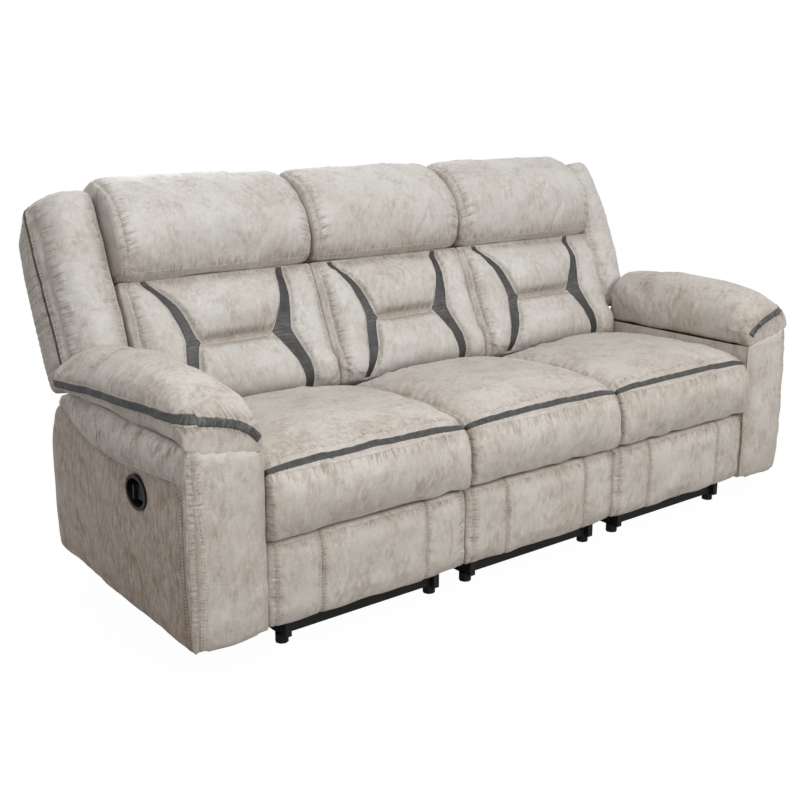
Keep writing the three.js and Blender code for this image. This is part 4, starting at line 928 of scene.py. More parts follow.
def headrest_detail(piece, unit, seed):
    centre, half = UNIT[unit]

    def folds(points, normals):
        rise, forward = back_frame_of(points)
        x = points[:, 0]
        inset = half - np.abs(x - centre)
        facing = np.clip((normals @ np.array(FORWARD)) * 1.5 + 0.4, 0.0, 1.0)
        height = rise - HEADREST_LOW
        girth = rise - forward * 0.7
        folded = seam(inset - 0.02, 0.004, 0.003) + gathers(inset - 0.021, girth, 0.04, 0.024, 0.006, seed)
        folded += gathers(0.018 - inset, girth, 0.012, 0.017, 0.003, seed + 4)
        folded += facing * gathers(height - 0.002, x, 0.034, 0.019, 0.006, seed + 3)
        hollow = 0.004 * noise(points, 0.11, seed + 1) + 0.0014 * noise(points, 0.035, seed + 2)
        hollow += seam(inset, 0.022, 0.006)
        hollow -= facing * 0.009 * np.sin(math.pi * np.clip(height / 0.22, 0.0, 1.0))
        # Painted shade at the sides where the rolls meet and along the roll's lower front, which turns under
        # and is darker.
        wear_and_shade = seam(inset, 0.024, 0.4) + facing * seam(height, 0.035, 0.4)
        up = [(girth, inset - 0.022, 0.045), (girth, 0.018 - inset, 0.02)]
        across = [(x, only(facing > 0.3, height - 0.012), 0.03)]
        return folded * facing, hollow, wear_and_shade, up, across

    sink(piece, folds)


def headrest_held(points):
    rise, forward = back_frame_of(points)
    centre, half = UNIT["left"]
    return (forward < -0.05) | (np.abs(points[:, 0] - centre) > half - 0.008) | (rise < HEADREST_LOW + 0.01)


# Front panels: the footrests' padded faces and the middle one like them

PANEL_SEAMS = (-0.52, 0.54)
PANEL_LOW, PANEL_HIGH = 0.072, 0.292


def panel_detail(piece, unit, seed):
    centre, half = UNIT[unit]

    def folds(points, normals):
        x, _, z = points.T
        u = (x - centre) / half
        facing = np.clip(-normals[:, 1] * 1.6, 0.0, 1.0)
        inset = half - np.abs(x - centre)
        folded = seam(inset - 0.02, 0.004, 0.0035)
        folded += gathers(0.019 - inset, z, 0.02, 0.014, 0.0045, seed + 2)
        folded += gathers(inset - 0.021, z, 0.014, 0.016, 0.0025, seed + 5)
        folded += gathers(PANEL_HIGH - 0.006 - z, x, 0.022, 0.03, 0.002, seed + 3)
        # Painted shade at the sides where the panels meet, at the foot by the floor and at the top under the
        # seat; beside the seams it is darker as wear.
        wear_and_shade = seam(inset, 0.02, 0.35) + seam(z - PANEL_LOW, 0.04, 0.3) + seam(z - PANEL_HIGH, 0.02, 0.4)
        for place in PANEL_SEAMS:
            away = (u - place) * half
            folded += seam(away, 0.0035, 0.004)
            folded += gathers(np.abs(away) - 0.003, z, 0.012, 0.015, 0.0016, seed)
            wear_and_shade += seam(away, 0.012, 0.25)
        hollow = 0.0028 * noise(points, 0.07, seed + 1) + 0.0012 * noise(points, 0.03, seed + 4)
        away = np.minimum(*(np.abs((u - place) * half) for place in PANEL_SEAMS)) - 0.005
        up = [(z, 0.0215 - inset, 0.022), (z, inset - 0.022, 0.022), (z, away, 0.012)]
        return folded * facing, hollow * facing, wear_and_shade, up, [(x, PANEL_HIGH - 0.012 - z, 0.022)]

    sink(piece, folds)


def panel_held(points):
    x, y, z = points.T
    centre, half = UNIT["left"]
    held = (np.abs(x - centre) > half - 0.006) | (z < 0.08) | (z > 0.285) | (y > -0.46)
    for place in PANEL_SEAMS:
        held |= np.abs((x - centre) / half - place) < 0.012
    return held


def node_under(what):
    return lambda unit: f"{unit}_{what}"


COVERS = {}


def make_seats():
    COVERS["seat"] = padded_unit(
        "seat_cover", node_under("seat_cushion"), 0.009, 5, seat_held, settings().puff_cap,
        seat_detail, SEAT_BODY)


def make_backs():
    COVERS["back"] = padded_unit(
        "back_cushion_cover", node_under("back_cushion"), 0.0075, 3, back_held, settings().puff_cap,
        back_detail, BACK_BODY, "smooth_suede")


def make_headrests():
    COVERS["headrest"] = padded_unit(
        "headrest_cover", node_under("headrest"), 0.0085, 5, headrest_held, settings().puff_cap,
        headrest_detail, BACK_BODY, "smooth_suede")


def make_panels():
    COVERS["panel"] = padded_unit(
        "front_panel_cover", PANEL_NODE.get, 0.008, 3, panel_held, settings().puff_cap * 0.6,
        panel_detail, PANEL_BODY)


# Wings: the pads that close the back's outer ends

WING_STRIP = (Vector((-1.0805, 0.205, 0.560)), Vector((-1.0785, 0.443, 1.028)))
WING_STRIP_WIDTH = 0.0065
# The front's outer and inner edge, as distances from the middle.
WING_OUTER_X, WING_INNER_X = 1.074, 0.925
WING_SEED = {"left": 71, "right": 83}


def wing_detail(piece, seed):
    def folds(points, normals):
        rise, _ = back_frame_of(points)
        side = np.abs(points[:, 0])
        facing = np.clip(normals @ np.array(FORWARD) + 0.5, 0.0, 1.0)
        edge = WING_OUTER_X - side
        inner = side - WING_INNER_X
        folded = facing * (gathers(edge - 0.004, rise, 0.028, 0.024, 0.005, seed) + seam(edge, 0.005, 0.004))
        folded += facing * gathers(inner, rise, 0.03, 0.03, 0.003, seed + 4)
        folded += gathers(-edge - 0.006, rise, 0.016, 0.018, 0.003, seed + 2)
        hollow = facing * (0.0045 * noise(points, 0.12, seed + 1) + 0.002 * noise(points, 0.045, seed + 3))
        hollow -= facing * 0.008 * np.sin(math.pi * np.clip((side - 0.915) / 0.16, 0.0, 1.0))
        # Darker along the front's outer seam as wear, painted shade at the inner edge by the back cushion,
        # and an even painted shade on the outer side, which turns from the lamps.
        wear_and_shade = seam(edge, 0.02, 0.4) + seam(inner, 0.02, 0.35) + 0.35 * gap(-edge, 0.01)
        up = [(rise, only(facing > 0.4, edge - 0.006), 0.04), (rise, -edge - 0.008, 0.025),
              (rise, only(facing > 0.4, inner), 0.03)]
        return folded, hollow, wear_and_shade, up, []

    sink(piece, folds)


def make_wings():
    piece = merged_copy("left_wing", "left_wing_cover")
    remesh(piece, 0.007, 4)

    def held(points):
        rise, forward = back_frame_of(points)
        return (np.abs(points[:, 0]) < 0.916) | (forward < -0.12) | (rise < 0.16)

    puff(piece, held, settings().puff_cap * 0.8)
    points = read_points(piece)
    points[:, 0] = np.minimum(points[:, 0], -0.9095)
    # The wing's foot hangs down behind the arm pad, close over the arm's rear top.
    rise, _ = back_frame_of(points)
    slack = np.interp(points[:, 1], (0.10, 0.14, 0.18, 0.20, 0.22), (0.038, 0.036, 0.024, 0.010, 0.0))
    points[:, 2] -= slack * np.clip((0.32 - rise) / 0.16, 0.0, 1.0)
    write_points(piece, points)
    made = {"left": piece, "right": mirrored_copy(piece, "right_wing_cover")}
    for side, cover in made.items():
        refine(cover)
        wing_detail(cover, WING_SEED[side])
        finish_cover(cover, f"{side}_wing", f"{side}_back", "smooth_suede")
    COVERS["wing"] = made


# Arms: a padded top over a side panel and a front panel

PAD_STRIP_SIDE = ((0.207, 0.577), (0.10, 0.587), (0.0, 0.596), (-0.10, 0.603), (-0.20, 0.609), (-0.30, 0.613),
                  (-0.40, 0.616), (-0.450, 0.618))
PAD_STRIP_FRONT = ((-1.113, 0.618), (-1.085, 0.617), (-1.056, 0.613), (-1.027, 0.608), (-0.998, 0.601),
                   (-0.972, 0.592), (-0.948, 0.578), (-0.930, 0.563), (-0.916, 0.545))
PAD_CROSS_Y = -0.02
PAD_SET_BACK = 0.014
PAD_SET_IN = 0.014
PAD_SEED = {"left": 101, "right": 113}
ARM_PANEL_SEED = {"left": 131, "right": 149}


def pad_detail(piece, seed):
    def folds(points, normals):
        x, y, z = points.T
        side = np.abs(x)
        level = z - table(PAD_STRIP_SIDE, y)
        outward = gap(side - 1.055, 0.03)
        folded = outward * (gathers(level - 0.011, y, 0.03, 0.024, 0.004, seed)
                            + gathers(-level - 0.011, y, 0.03, 0.022, 0.0045, seed + 2)
                            + seam(level, 0.009, 0.002))
        front = gap(-0.44 - y, 0.03)
        height = z - table(PAD_STRIP_FRONT, -side)
        slant = x + 0.4 * z
        folded += front * (gathers(height - 0.011, slant, 0.045, 0.017, 0.0065, seed + 3)
                           + gathers(-height - 0.011, slant, 0.02, 0.017, 0.005, seed + 4))
        cross = y - PAD_CROSS_Y
        above = gap(z - 0.62, 0.03)
        folded += above * (seam(cross, 0.005, 0.004)
                           + gathers(np.abs(cross) - 0.006, x, 0.03, 0.026, 0.004, seed + 6))
        hollow = 0.0045 * noise(points, 0.10, seed + 1) + 0.002 * noise(points, 0.04, seed + 5)
        hollow += above * seam(cross, 0.03, 0.004)
        # Darker beside the strips and the cross seam as wear; the band at the pad's lower edge, over the
        # crevice above the arm's roll, is painted shade.
        wear_and_shade = outward * seam(level, 0.03, 0.35) + front * seam(height, 0.035, 0.4)
        wear_and_shade += above * seam(cross, 0.015, 0.3)
        up = [(y, only(outward > 0.5, np.abs(level) - 0.013), 0.022),
              (x, only(above > 0.5, np.abs(cross) - 0.007), 0.025)]
        across = [(slant, only(front > 0.5, height - 0.012), 0.055),
                  (slant, only(front > 0.5, -height - 0.012), 0.03)]
        return folded, hollow, wear_and_shade + seam(z - 0.53, 0.02, 0.3), up, across

    sink(piece, folds)


# The seam under the side's padded ledge, from the rear (y, z), and where it turns down at the front.
LEDGE_SEAM = ((0.330, 0.480), (0.267, 0.500), (0.201, 0.498), (0.121, 0.470), (0.021, 0.450), (-0.152, 0.448),
              (-0.278, 0.459), (-0.412, 0.472), (-0.470, 0.474))
LEDGE_TURN_Y = -0.472
LEDGE_TURN_SIZE = 0.016
ROLL_FOOT_Z = 0.500
HANDLE_Y, HANDLE_Z = -0.252, 0.401
ROLL_DEPTH = 0.013
# Top line of the ledge (y, z) and the side's outer face (y, distance out), along the arm.
LEDGE_TOP = ((0.336, 0.428), (0.31, 0.460), (0.295, 0.477), (0.28, 0.493), (0.266, 0.508), (0.25, 0.524),
             (0.235, 0.538), (0.19, 0.546), (0.10, 0.553), (-0.50, 0.560))
PANEL_TOP = ((0.336, 0.416), (0.32, 0.436), (0.30, 0.460), (0.28, 0.483), (0.26, 0.491), (0.24, 0.497),
             (0.20, 0.509), (0.16, 0.519), (0.12, 0.530), (0.08, 0.537), (0.0, 0.544), (-0.50, 0.545))
# The arm front's outer and inner edge, as distances from the middle.
ARM_FRONT_OUTER_X, ARM_FRONT_INNER_X = 1.117, 0.912


def below_ledge(points):
    """Distance into the side panel from the ledge's seam: down from it, and back from its turn."""
    down = table(LEDGE_SEAM, points[:, 1]) - points[:, 2]
    back = points[:, 1] - LEDGE_TURN_Y
    return -LEDGE_TURN_SIZE * np.logaddexp(-down / LEDGE_TURN_SIZE, -back / LEDGE_TURN_SIZE)


def roll_arm(points):
    """Raises the arm's top edge to the pad above it, and rolls it over inwards."""
    rolled = points.copy()
    x, y, z = points.T
    rolled[:, 1] -= 0.0025 * gap(-0.474 - y, 0.008)
    lift = table(LEDGE_TOP, y) - table(PANEL_TOP, y) + 0.30 * np.clip(np.abs(x) - 1.095, 0.0, 0.03)
    rolled[:, 2] += lift * np.clip((z - 0.44) / 0.09, 0.0, 1.0)
    share = np.clip((rolled[:, 2] - ROLL_FOOT_Z) / (0.562 - ROLL_FOOT_Z), 0.0, 1.0)
    outer = gap(np.abs(x) - 1.085, 0.02)
    rolled[:, 0] -= np.sign(x) * outer * ROLL_DEPTH * (1.0 - np.sqrt(1.0 - share ** 2))
    return rolled


def panel_side_detail(piece, seed):
    write_points(piece, roll_arm(read_points(piece)))

    def folds(points, normals):
        x, y, z = points.T
        facing = gap(np.abs(x) - 1.065, 0.01) * np.clip(np.abs(normals[:, 0]) * 2.0, 0.0, 1.0)
        down = below_ledge(points)
        folded = facing * (seam(down, 0.0045, 0.0045)
                           + gathers(-down - 0.012, y, 0.024, 0.03, 0.003, seed + 5))
        # The ledge under the arm pad is padded, and rolls over towards it.
        full = np.sin(math.pi * np.clip(-down / 0.085, 0.0, 1.0)) ** 0.7
        hollow = -facing * 0.008 * full * gap(y + 0.45, 0.05)
        hollow += facing * (0.004 * noise(points * np.array([1.0, 1.0, 0.45]), 0.13, seed + 1)
                            + 0.0018 * noise(points * np.array([1.0, 1.0, 0.5]), 0.045, seed + 2))
        # Darker along the seam under the ledge, and darker towards the bottom.
        wear_and_shade = seam(down, 0.012, 0.35) + 0.25 * gap(0.30 - z, 0.25)
        # The cloth is drawn flat round the handle's housing, so that the lever clears it.
        calm = gap(np.hypot(y - HANDLE_Y, z - HANDLE_Z) - 0.055, 0.04)
        folded, hollow = folded * calm, hollow * calm + (1.0 - calm) * 0.002
        return folded, hollow, wear_and_shade, [(z - y, only(facing > 0.5, down - 0.006), 0.02)], []

    sink(piece, folds)
    # The ledge mark keeps most of the side suede's painted shade tint, and its streaks, off the ledge's top.
    keep(piece, "ledge", 0.75 * gap(-below_ledge(read_points(piece)), 0.004))


def arm_front_detail(piece, seed):
    points = read_points(piece)
    # The front's edges reach out to the side panel and in past the frame's inner face.
    points[:, 2] += 0.006 * gap(points[:, 2] - 0.46, 0.05)
    side = np.abs(points[:, 0])
    # The top outer corner is drawn up under the pad, where side panel, front panel and pad meet.
    points[:, 2] += 0.009 * gap(points[:, 2] - 0.505, 0.025) * gap(side - 1.066, 0.012)
    wider = side + 0.007 * gap(side - 1.085, 0.025)
    squared = gap(0.923 - side, 0.007) * gap(points[:, 1] + 0.496, 0.004)
    points[:, 0] = np.sign(points[:, 0]) * (wider + (0.9104 - wider) * squared)
    write_points(piece, points)

    def folds(points, normals):
        x, _, z = points.T
        facing = np.clip(-normals[:, 1] * 1.5, 0.0, 1.0)
        outer = ARM_FRONT_OUTER_X - np.abs(x)
        inner = np.abs(x) - ARM_FRONT_INNER_X
        folded = facing * (seam(outer - 0.020, 0.004, 0.0035)
                           + gathers(0.019 - outer, z, 0.018, 0.015, 0.004, seed)
                           + gathers(outer - 0.021, z, 0.02, 0.018, 0.003, seed + 4)
                           + gathers(0.513 - z, x, 0.05, 0.03, 0.004, seed + 3))
        hollow = facing * (0.0042 * noise(points, 0.09, seed + 1) + 0.0018 * noise(points, 0.035, seed + 2))
        hollow -= facing * 0.004 * np.sin(math.pi * np.clip(outer / 0.2, 0.0, 1.0))
        # Darker beside the outer seam, painted shade at the inner edge where the front meets the seat, and
        # darker towards the bottom.
        wear_and_shade = seam(outer - 0.02, 0.012, 0.3) + seam(inner, 0.018, 0.4) + 0.35 * gap(0.25 - z, 0.2)
        up = [(z, 0.019 - outer, 0.02), (z, only(facing > 0.3, outer - 0.028), 0.02)]
        return folded, hollow, wear_and_shade, up, []

    sink(piece, folds)


def make_arm_pads():
    piece = merged_copy("left_arm_pad", "left_arm_pad_cover")
    remesh(piece, 0.0065, 4)

    def held(points):
        return (points[:, 2] < 0.56) | (points[:, 1] > 0.17)

    puff(piece, held, settings().puff_cap * 0.9)
    points = read_points(piece)
    points[:, 1] += PAD_SET_BACK * gap(-0.38 - points[:, 1], 0.13)
    points[:, 0] += PAD_SET_IN * gap(-1.06 - points[:, 0], 0.06) * gap(-0.20 - points[:, 1], 0.25)
    points[:, 2] -= 0.006 * gap(-1.09 - points[:, 0], 0.02) * gap(0.60 - points[:, 2], 0.03)
    write_points(piece, points)
    made = {"left": piece, "right": mirrored_copy(piece, "right_arm_pad_cover")}
    for side, cover in made.items():
        refine(cover)
        pad_detail(cover, PAD_SEED[side])
        finish_cover(cover, f"{side}_arm_pad", "base", "suede")
    COVERS["pad"] = made


def make_arm_panels():
    for what, voxel, rounds, levels, detail, material, slot in (
            ("arm_side_panel", 0.006, 2, 0, panel_side_detail, "side", "side_upholstery"),
            ("arm_front_panel", 0.006, 3, 1, arm_front_detail, "suede", "upholstery")):
        piece = merged_copy(f"left_{what}", f"left_{what}_cover")
        remesh(piece, voxel, rounds)
        made = {"left": piece, "right": mirrored_copy(piece, f"right_{what}_cover")}
        for side, cover in made.items():
            if levels:
                refine(cover, levels)
            detail(cover, ARM_PANEL_SEED[side])
            finish_cover(cover, f"{side}_{what}", "base", material)
        COVERS[what] = made


# The inner cloth's distance out from the middle, and its middle and size along y and z.
ARM_INNER_X = 0.9106
ARM_INNER_MIDDLE = (-0.1625, 0.2937)
ARM_INNER_SIZE = (0.639, 0.4406)
ARM_INNER_THICKNESS = 0.0006


def make_arm_inners():
    """The cloth on the arms' inner faces, from the front panel back to the wing."""
    for name, side in ENDS.items():
        cover, flat = new_grid(f"{name}_arm_inner_cover", 60, 40)
        across = np.array(ARM_INNER_MIDDLE) + flat[:, :2] * np.array(ARM_INNER_SIZE)
        points = np.column_stack([np.full(len(flat), side * ARM_INNER_X), across])
        points[:, 0] += side * 0.0001 * noise(points, 0.05, 191)
        write_points(cover, points)
        shell = bmesh.new()
        shell.from_mesh(cover.data)
        bmesh.ops.recalc_face_normals(shell, faces=shell.faces)
        shell.to_mesh(cover.data)
        shell.free()
        thicken(cover, ARM_INNER_THICKNESS)
        apply_modifiers(cover)
        smooth_shade(cover)
        finish_piece(cover, "base", "suede")


BACK_CLOTH_THICKNESS = 0.0004
ARM_CLOTH_THICKNESS = 0.0003
# How squarely a face looks along a direction, and how far short of the part's end it may lie.
CLOTH_SQUARE = 0.9
CLOTH_SHORT = 0.0005


def cut_cloth(node, name, directions, thickness, body):
    """A thin cloth on the faces of a wooden part that close it off along the directions."""
    cloth = merged_copy(node, name)
    corners = read_points(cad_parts[node])
    ends = [(along, (corners @ np.array(along)).max()) for along in directions]
    shell = bmesh.new()
    shell.from_mesh(cloth.data)
    bare = [face for face in shell.faces
            if not any(face.normal.dot(along) > CLOTH_SQUARE
                       and face.calc_center_median().dot(along) > end - CLOTH_SHORT for along, end in ends)]
    bmesh.ops.delete(shell, geom=bare, context="FACES")
    shell.to_mesh(cloth.data)
    shell.free()
    thicken(cloth, thickness, 1.0)
    apply_modifiers(cloth)
    finish_piece(cloth, body, "side")


def make_frame_cloths():
    """The cloth over the back frames, and over the rear and inner faces of the arm frames."""
    rightward = Vector((1.0, 0.0, 0.0))
    for unit in UNITS:
        cut_cloth(f"{unit}_back_frame", f"{unit}_back_frame_cloth",
                  (rightward, -rightward, FORWARD, -FORWARD, RISE), BACK_CLOTH_THICKNESS, BACK_BODY[unit])
    for name, side in ENDS.items():
        cut_cloth(f"{name}_arm_frame", f"{name}_arm_frame_cloth",
                  (BACKWARD, rightward * -side), ARM_CLOTH_THICKNESS, "base")


GROOVE_CLOTH_FOOT = (0.0805, 0.336)
GROOVE_CLOTH_TOP = (0.1380, 0.464)
GROOVE_CLOTH_INSET = 0.003
GROOVE_CLOTH_THICKNESS = 0.001


def make_groove_cloths():
    """The cloth behind each seat, over the foot of the back's frame."""
    for unit in UNITS:
        centre, half = UNIT[unit]
        cloth, flat = new_grid(f"{unit}_groove_cloth", 40, 8)
        share = flat[:, 1] + 0.5
        (foot_y, foot_z), (top_y, top_z) = GROOVE_CLOTH_FOOT, GROOVE_CLOTH_TOP
        write_points(cloth, np.column_stack([
            centre + flat[:, 0] * 2.0 * (half - GROOVE_CLOTH_INSET),
            foot_y + (top_y - foot_y) * share, foot_z + (top_z - foot_z) * share]))
        thicken(cloth, GROOVE_CLOTH_THICKNESS)
        apply_modifiers(cloth)
        smooth_shade(cloth)
        finish_piece(cloth, BACK_BODY[unit], "suede")


# Back covers: the upholstered rear of each unit

def make_back_covers():
    first = merged_copy("left_back_cover", "left_rear_cover")
    remesh(first, 0.015, 3)
    made = in_all_units(first, "rear_cover")
    for seed, (unit, piece) in enumerate(made.items()):
        centre, half = UNIT[unit]
        refine(piece)

        def folds(points, normals, centre=centre, half=half, seed=seed):
            rise, _ = back_frame_of(points)
            facing = np.clip(-(normals @ np.array(FORWARD)), 0.0, 1.0)
            inset = half - np.abs(points[:, 0] - centre)
            folded = facing * (seam(inset - 0.02, 0.005, 0.003) + seam(rise - 0.58, 0.005, 0.003)
                               + gathers(inset - 0.022, rise, 0.02, 0.03, 0.0025, 171 + seed))
            wear_and_shade = seam(inset - 0.02, 0.015, 0.3) + seam(rise - 0.58, 0.015, 0.3)
            up = [(rise, only(facing > 0.5, inset - 0.022), 0.02)]
            return folded, facing * 0.003 * noise(points, 0.16, 161 + seed), wear_and_shade, up, []

        sink(piece, folds)
        kept_in_unit(piece, unit)
        finish_cover(piece, f"{unit}_back_cover", BACK_BODY[unit], "side")
    COVERS["rear"] = made


# Trim strips and stitching

def wide_row(centre, across, width, count=4):
    """Points across a strip, from one edge to the other."""
    return [centre + across * (width * (k / (count - 1) - 0.5)) for k in range(count)]


def steps_between(start, end, count):
    return [start.lerp(end, k / (count - 1)) for k in range(count)]


def along_back(unit, share, v, forward=0.06):
    centre, half = UNIT[unit]
    return back_place(centre + half * share, CUSHION_LOW + v * (CUSHION_HIGH - CUSHION_LOW), forward)


SEAT_STRIP_HEADING = Vector((0.0, 0.66, -0.75))
SEAT_STRIP_ACROSS = Vector((0.0, 0.75, 0.66))
SEAT_STRIP_CENTRE = (-0.4965, 0.4830)


def seat_trim(unit):
    centre, half = UNIT[unit]
    rows = []
    count = 90
    for k in range(count):
        u = -1.0 + 2.0 * k / (count - 1)
        width = 0.018 * (1.0 - 0.45 * max(0.0, (abs(u) - 0.94) / 0.06) ** 2)
        place = Vector((centre + u * (half - 0.003), *SEAT_STRIP_CENTRE))
        rows.append(wide_row(place, SEAT_STRIP_ACROSS, width, 5))
    return rows, SEAT_STRIP_HEADING, [0.3] * count


def back_trim(unit, side):
    rows, ribs = [], []
    count = 90
    for k in range(count):
        v = 0.02 + 0.97 * k / (count - 1)
        outer, inner = strip_edges(v, side)
        rows.append([along_back(unit, side * (inner + (outer - inner) * j / 6.0), v) for j in range(7)])
        ribs.append(0.12 + 0.8 * math.exp(-((v - WAIST) / 0.10) ** 2))
    return rows, -FORWARD, ribs


def wing_heading(side):
    """The wing's strip lies on its outer front edge, so it is cast from outside and from the front."""
    return (Vector((side * -0.75, 0.0, 0.0)) - FORWARD).normalized()


def wing_trim(side):
    low, high = WING_STRIP
    rows = []
    for centre in steps_between(low, high, 80):
        row = wide_row(centre, Vector((1.0, 0.0, 0.0)), WING_STRIP_WIDTH, 4)
        rows.append([mirrored(place, side) for place in row])
    return rows, wing_heading(side), [0.2] * len(rows)


PAD_CORNER = Vector((-1.068, -0.440, 0.0))
PAD_CORNER_RADIUS = 0.09


def pad_path():
    """Centres of the left pad's strip with the direction each is cast along and the way across it."""
    path = []
    rise = Vector((0.0, 0.0, 1.0))
    for k in range(80):
        y = 0.207 - 0.647 * k / 79.0
        path.append((Vector((-1.158, y, table(PAD_STRIP_SIDE, y))), Vector((1.0, 0.0, 0.0)), rise))
    for k in range(1, 16):
        turn = math.radians(90.0 * k / 16.0)
        out = Vector((-math.cos(turn), -math.sin(turn), 0.0))
        place = PAD_CORNER + out * PAD_CORNER_RADIUS
        path.append((Vector((place.x, place.y, 0.6195)), -out, rise))
    for k in range(60):
        x = PAD_CORNER.x + (-0.920 - PAD_CORNER.x) * k / 59.0
        z = table(PAD_STRIP_FRONT, x)
        ahead = table(PAD_STRIP_FRONT, x + 0.004)
        slope = Vector((0.004, 0.0, ahead - z)).normalized()
        path.append((Vector((x, -0.56, z)), BACKWARD, Vector((-slope.z, 0.0, slope.x))))
    return path


def mirrored(place, side):
    return Vector((side * -place.x, place.y, place.z))


def pad_trim(side, width=0.019):
    rows, headings, ribs = [], [], []
    for centre, heading, across in pad_path():
        rows.append([mirrored(p, side) for p in wide_row(centre, across, width, 5)])
        headings.append(mirrored(heading, side))
        ribs.append(0.25 + 0.75 * abs(heading.y))
    return rows, headings, ribs


def trim_piece(name, piece, laid, body):
    finish_piece(ribbon(name, surface_of(piece), *laid), body, "accent")


def make_trim():
    for unit in UNITS:
        trim_piece(f"{unit}_seat_trim", COVERS["seat"][unit], seat_trim(unit), SEAT_BODY[unit])
        for name, side in ENDS.items():
            trim_piece(
                f"{unit}_back_{name}_trim", COVERS["back"][unit], back_trim(unit, side), BACK_BODY[unit])
    for name, side in ENDS.items():
        trim_piece(f"{name}_wing_trim", COVERS["wing"][name], wing_trim(side), f"{name}_back")
        trim_piece(f"{name}_arm_pad_trim", COVERS["pad"][name], pad_trim(side), "base")


def double_row(places, across):
    shift = across * (settings().twin_gap / 2.0)
    return [[p - shift for p in places], [p + shift for p in places]]


def seat_rows(unit):
    centre, half = UNIT[unit]
    for offset in (-0.0125, 0.0125):
        ends = [Vector((centre + side * (half - 0.006), *SEAT_STRIP_CENTRE)) + SEAT_STRIP_ACROSS * offset
                for side in (-1.0, 1.0)]
        yield steps_between(*ends, 120), SEAT_STRIP_HEADING
    for side in (-1.0, 1.0):
        for inset in (0.009, 0.016):
            x = centre + side * (half - inset)
            yield steps_between(Vector((x, -0.47, 0.55)), Vector((x, 0.03, 0.52)), 90), DOWN


def back_rows(unit):
    _, half = UNIT[unit]
    for side in (-1.0, 1.0):
        outer_row, inner_row = [], []
        for k in range(90):
            v = 0.03 + 0.94 * k / 89.0
            outer, inner = strip_edges(v, side)
            outer_row.append(along_back(unit, side * (outer + 0.003 / half), v))
            inner_row.append(along_back(unit, side * (inner - 0.003 / half), v))
        yield outer_row, -FORWARD
        yield inner_row, -FORWARD
        for inset in (0.0145, 0.0215):
            share = side * (1.0 - inset / half)
            yield [along_back(unit, share, 0.04 + 0.92 * k / 79.0) for k in range(80)], -FORWARD
    low, high = 0.01 - strip_edges(WAIST, -1.0)[1], strip_edges(WAIST, 1.0)[1] - 0.01
    across = [along_back(unit, low + (high - low) * k / 59.0, WAIST) for k in range(60)]
    for row in double_row(across, RISE):
        yield row, -FORWARD


def headrest_rows(unit):
    centre, half = UNIT[unit]
    yield [back_place(centre + (half - 0.02) * (2.0 * k / 99.0 - 1.0), HEADREST_LOW + 0.012, 0.06)
           for k in range(100)], -FORWARD
    for side in (-1.0, 1.0):
        for inset in (0.017, 0.024):
            x = centre + side * (half - inset)
            yield [back_place(x, HEADREST_LOW + 0.015 + 0.26 * k / 59.0, 0.12) for k in range(60)], -FORWARD
            yield [back_place(x, 0.72, -0.01 - 0.13 * k / 29.0) for k in range(30)], DOWN


def panel_rows(unit):
    centre, half = UNIT[unit]
    for place in PANEL_SEAMS:
        for shift in (-0.0035, 0.0035):
            x = centre + half * place + shift
            yield steps_between(Vector((x, -0.56, 0.084)), Vector((x, -0.56, 0.284)), 40), BACKWARD
    for side in (-1.0, 1.0):
        x = centre + side * (half - 0.0235)
        yield steps_between(Vector((x, -0.56, 0.084)), Vector((x, -0.56, 0.282)), 40), BACKWARD


def wing_rows(side):
    low, high = WING_STRIP
    for shift in (-0.0075, 0.0075):
        row = [place + Vector((shift, 0.0, 0.0)) for place in steps_between(low, high, 90)]
        yield [mirrored(place, side) for place in row], wing_heading(side)


def pad_rows(side):
    path = pad_path()
    headings = [mirrored(heading, side) for _, heading, _ in path]
    for shift in (-0.0125, 0.0125):
        yield [mirrored(centre + across * shift, side) for centre, _, across in path], headings
    for shift in (-0.004, 0.004):
        row = [Vector((-1.095 + 0.17 * k / 39.0, PAD_CROSS_Y + shift, 0.75)) for k in range(40)]
        yield [mirrored(place, side) for place in row], DOWN


def side_panel_rows(side):
    inward = mirrored(Vector((1.0, 0.0, 0.0)), side)
    for away in (0.004, -0.006):
        row = [Vector((-1.17, 0.26 - 0.69 * k / 79.0, 0.0)) for k in range(80)]
        for place in row:
            place.z = float(table(LEDGE_SEAM, place.y)) - away
        # The rows go round the turn and down the front.
        round_y = LEDGE_TURN_Y + 0.042
        foot = float(table(LEDGE_SEAM, round_y)) - 0.042
        turn = [Vector((-1.17, round_y - (0.042 - away) * math.sin(a), foot + (0.042 - away) * math.cos(a)))
                for a in (math.radians(9.0 * k) for k in range(1, 11))]
        down = [Vector((-1.17, LEDGE_TURN_Y + away, foot - (foot - 0.085) * k / 60.0))
                for k in range(1, 61)]
        yield [mirrored(place, side) for place in row + turn + (down if away > 0 else [])], inward


def arm_front_rows(side):
    line = ((-1.099, 0.485), (-1.093, 0.411), (-1.084, 0.305), (-1.088, 0.19), (-1.093, 0.085))
    for shift in (0.0, 0.007):
        row = []
        for (x0, z0), (x1, z1) in zip(line, line[1:]):
            row += [Vector((x0 + (x1 - x0) * k / 16.0 + shift, -0.56, z0 + (z1 - z0) * k / 16.0))
                    for k in range(16)]
        yield [mirrored(p, side) for p in row], BACKWARD


def stitched(name, piece, rows, body):
    tree = surface_of(piece)
    runs = []
    for places, direction in rows:
        headings = direction if isinstance(direction, list) else [direction] * len(places)
        runs.append([cast(tree, place, heading) for place, heading in zip(places, headings)])
    finish_piece(stitches(name, runs), body, "thread")


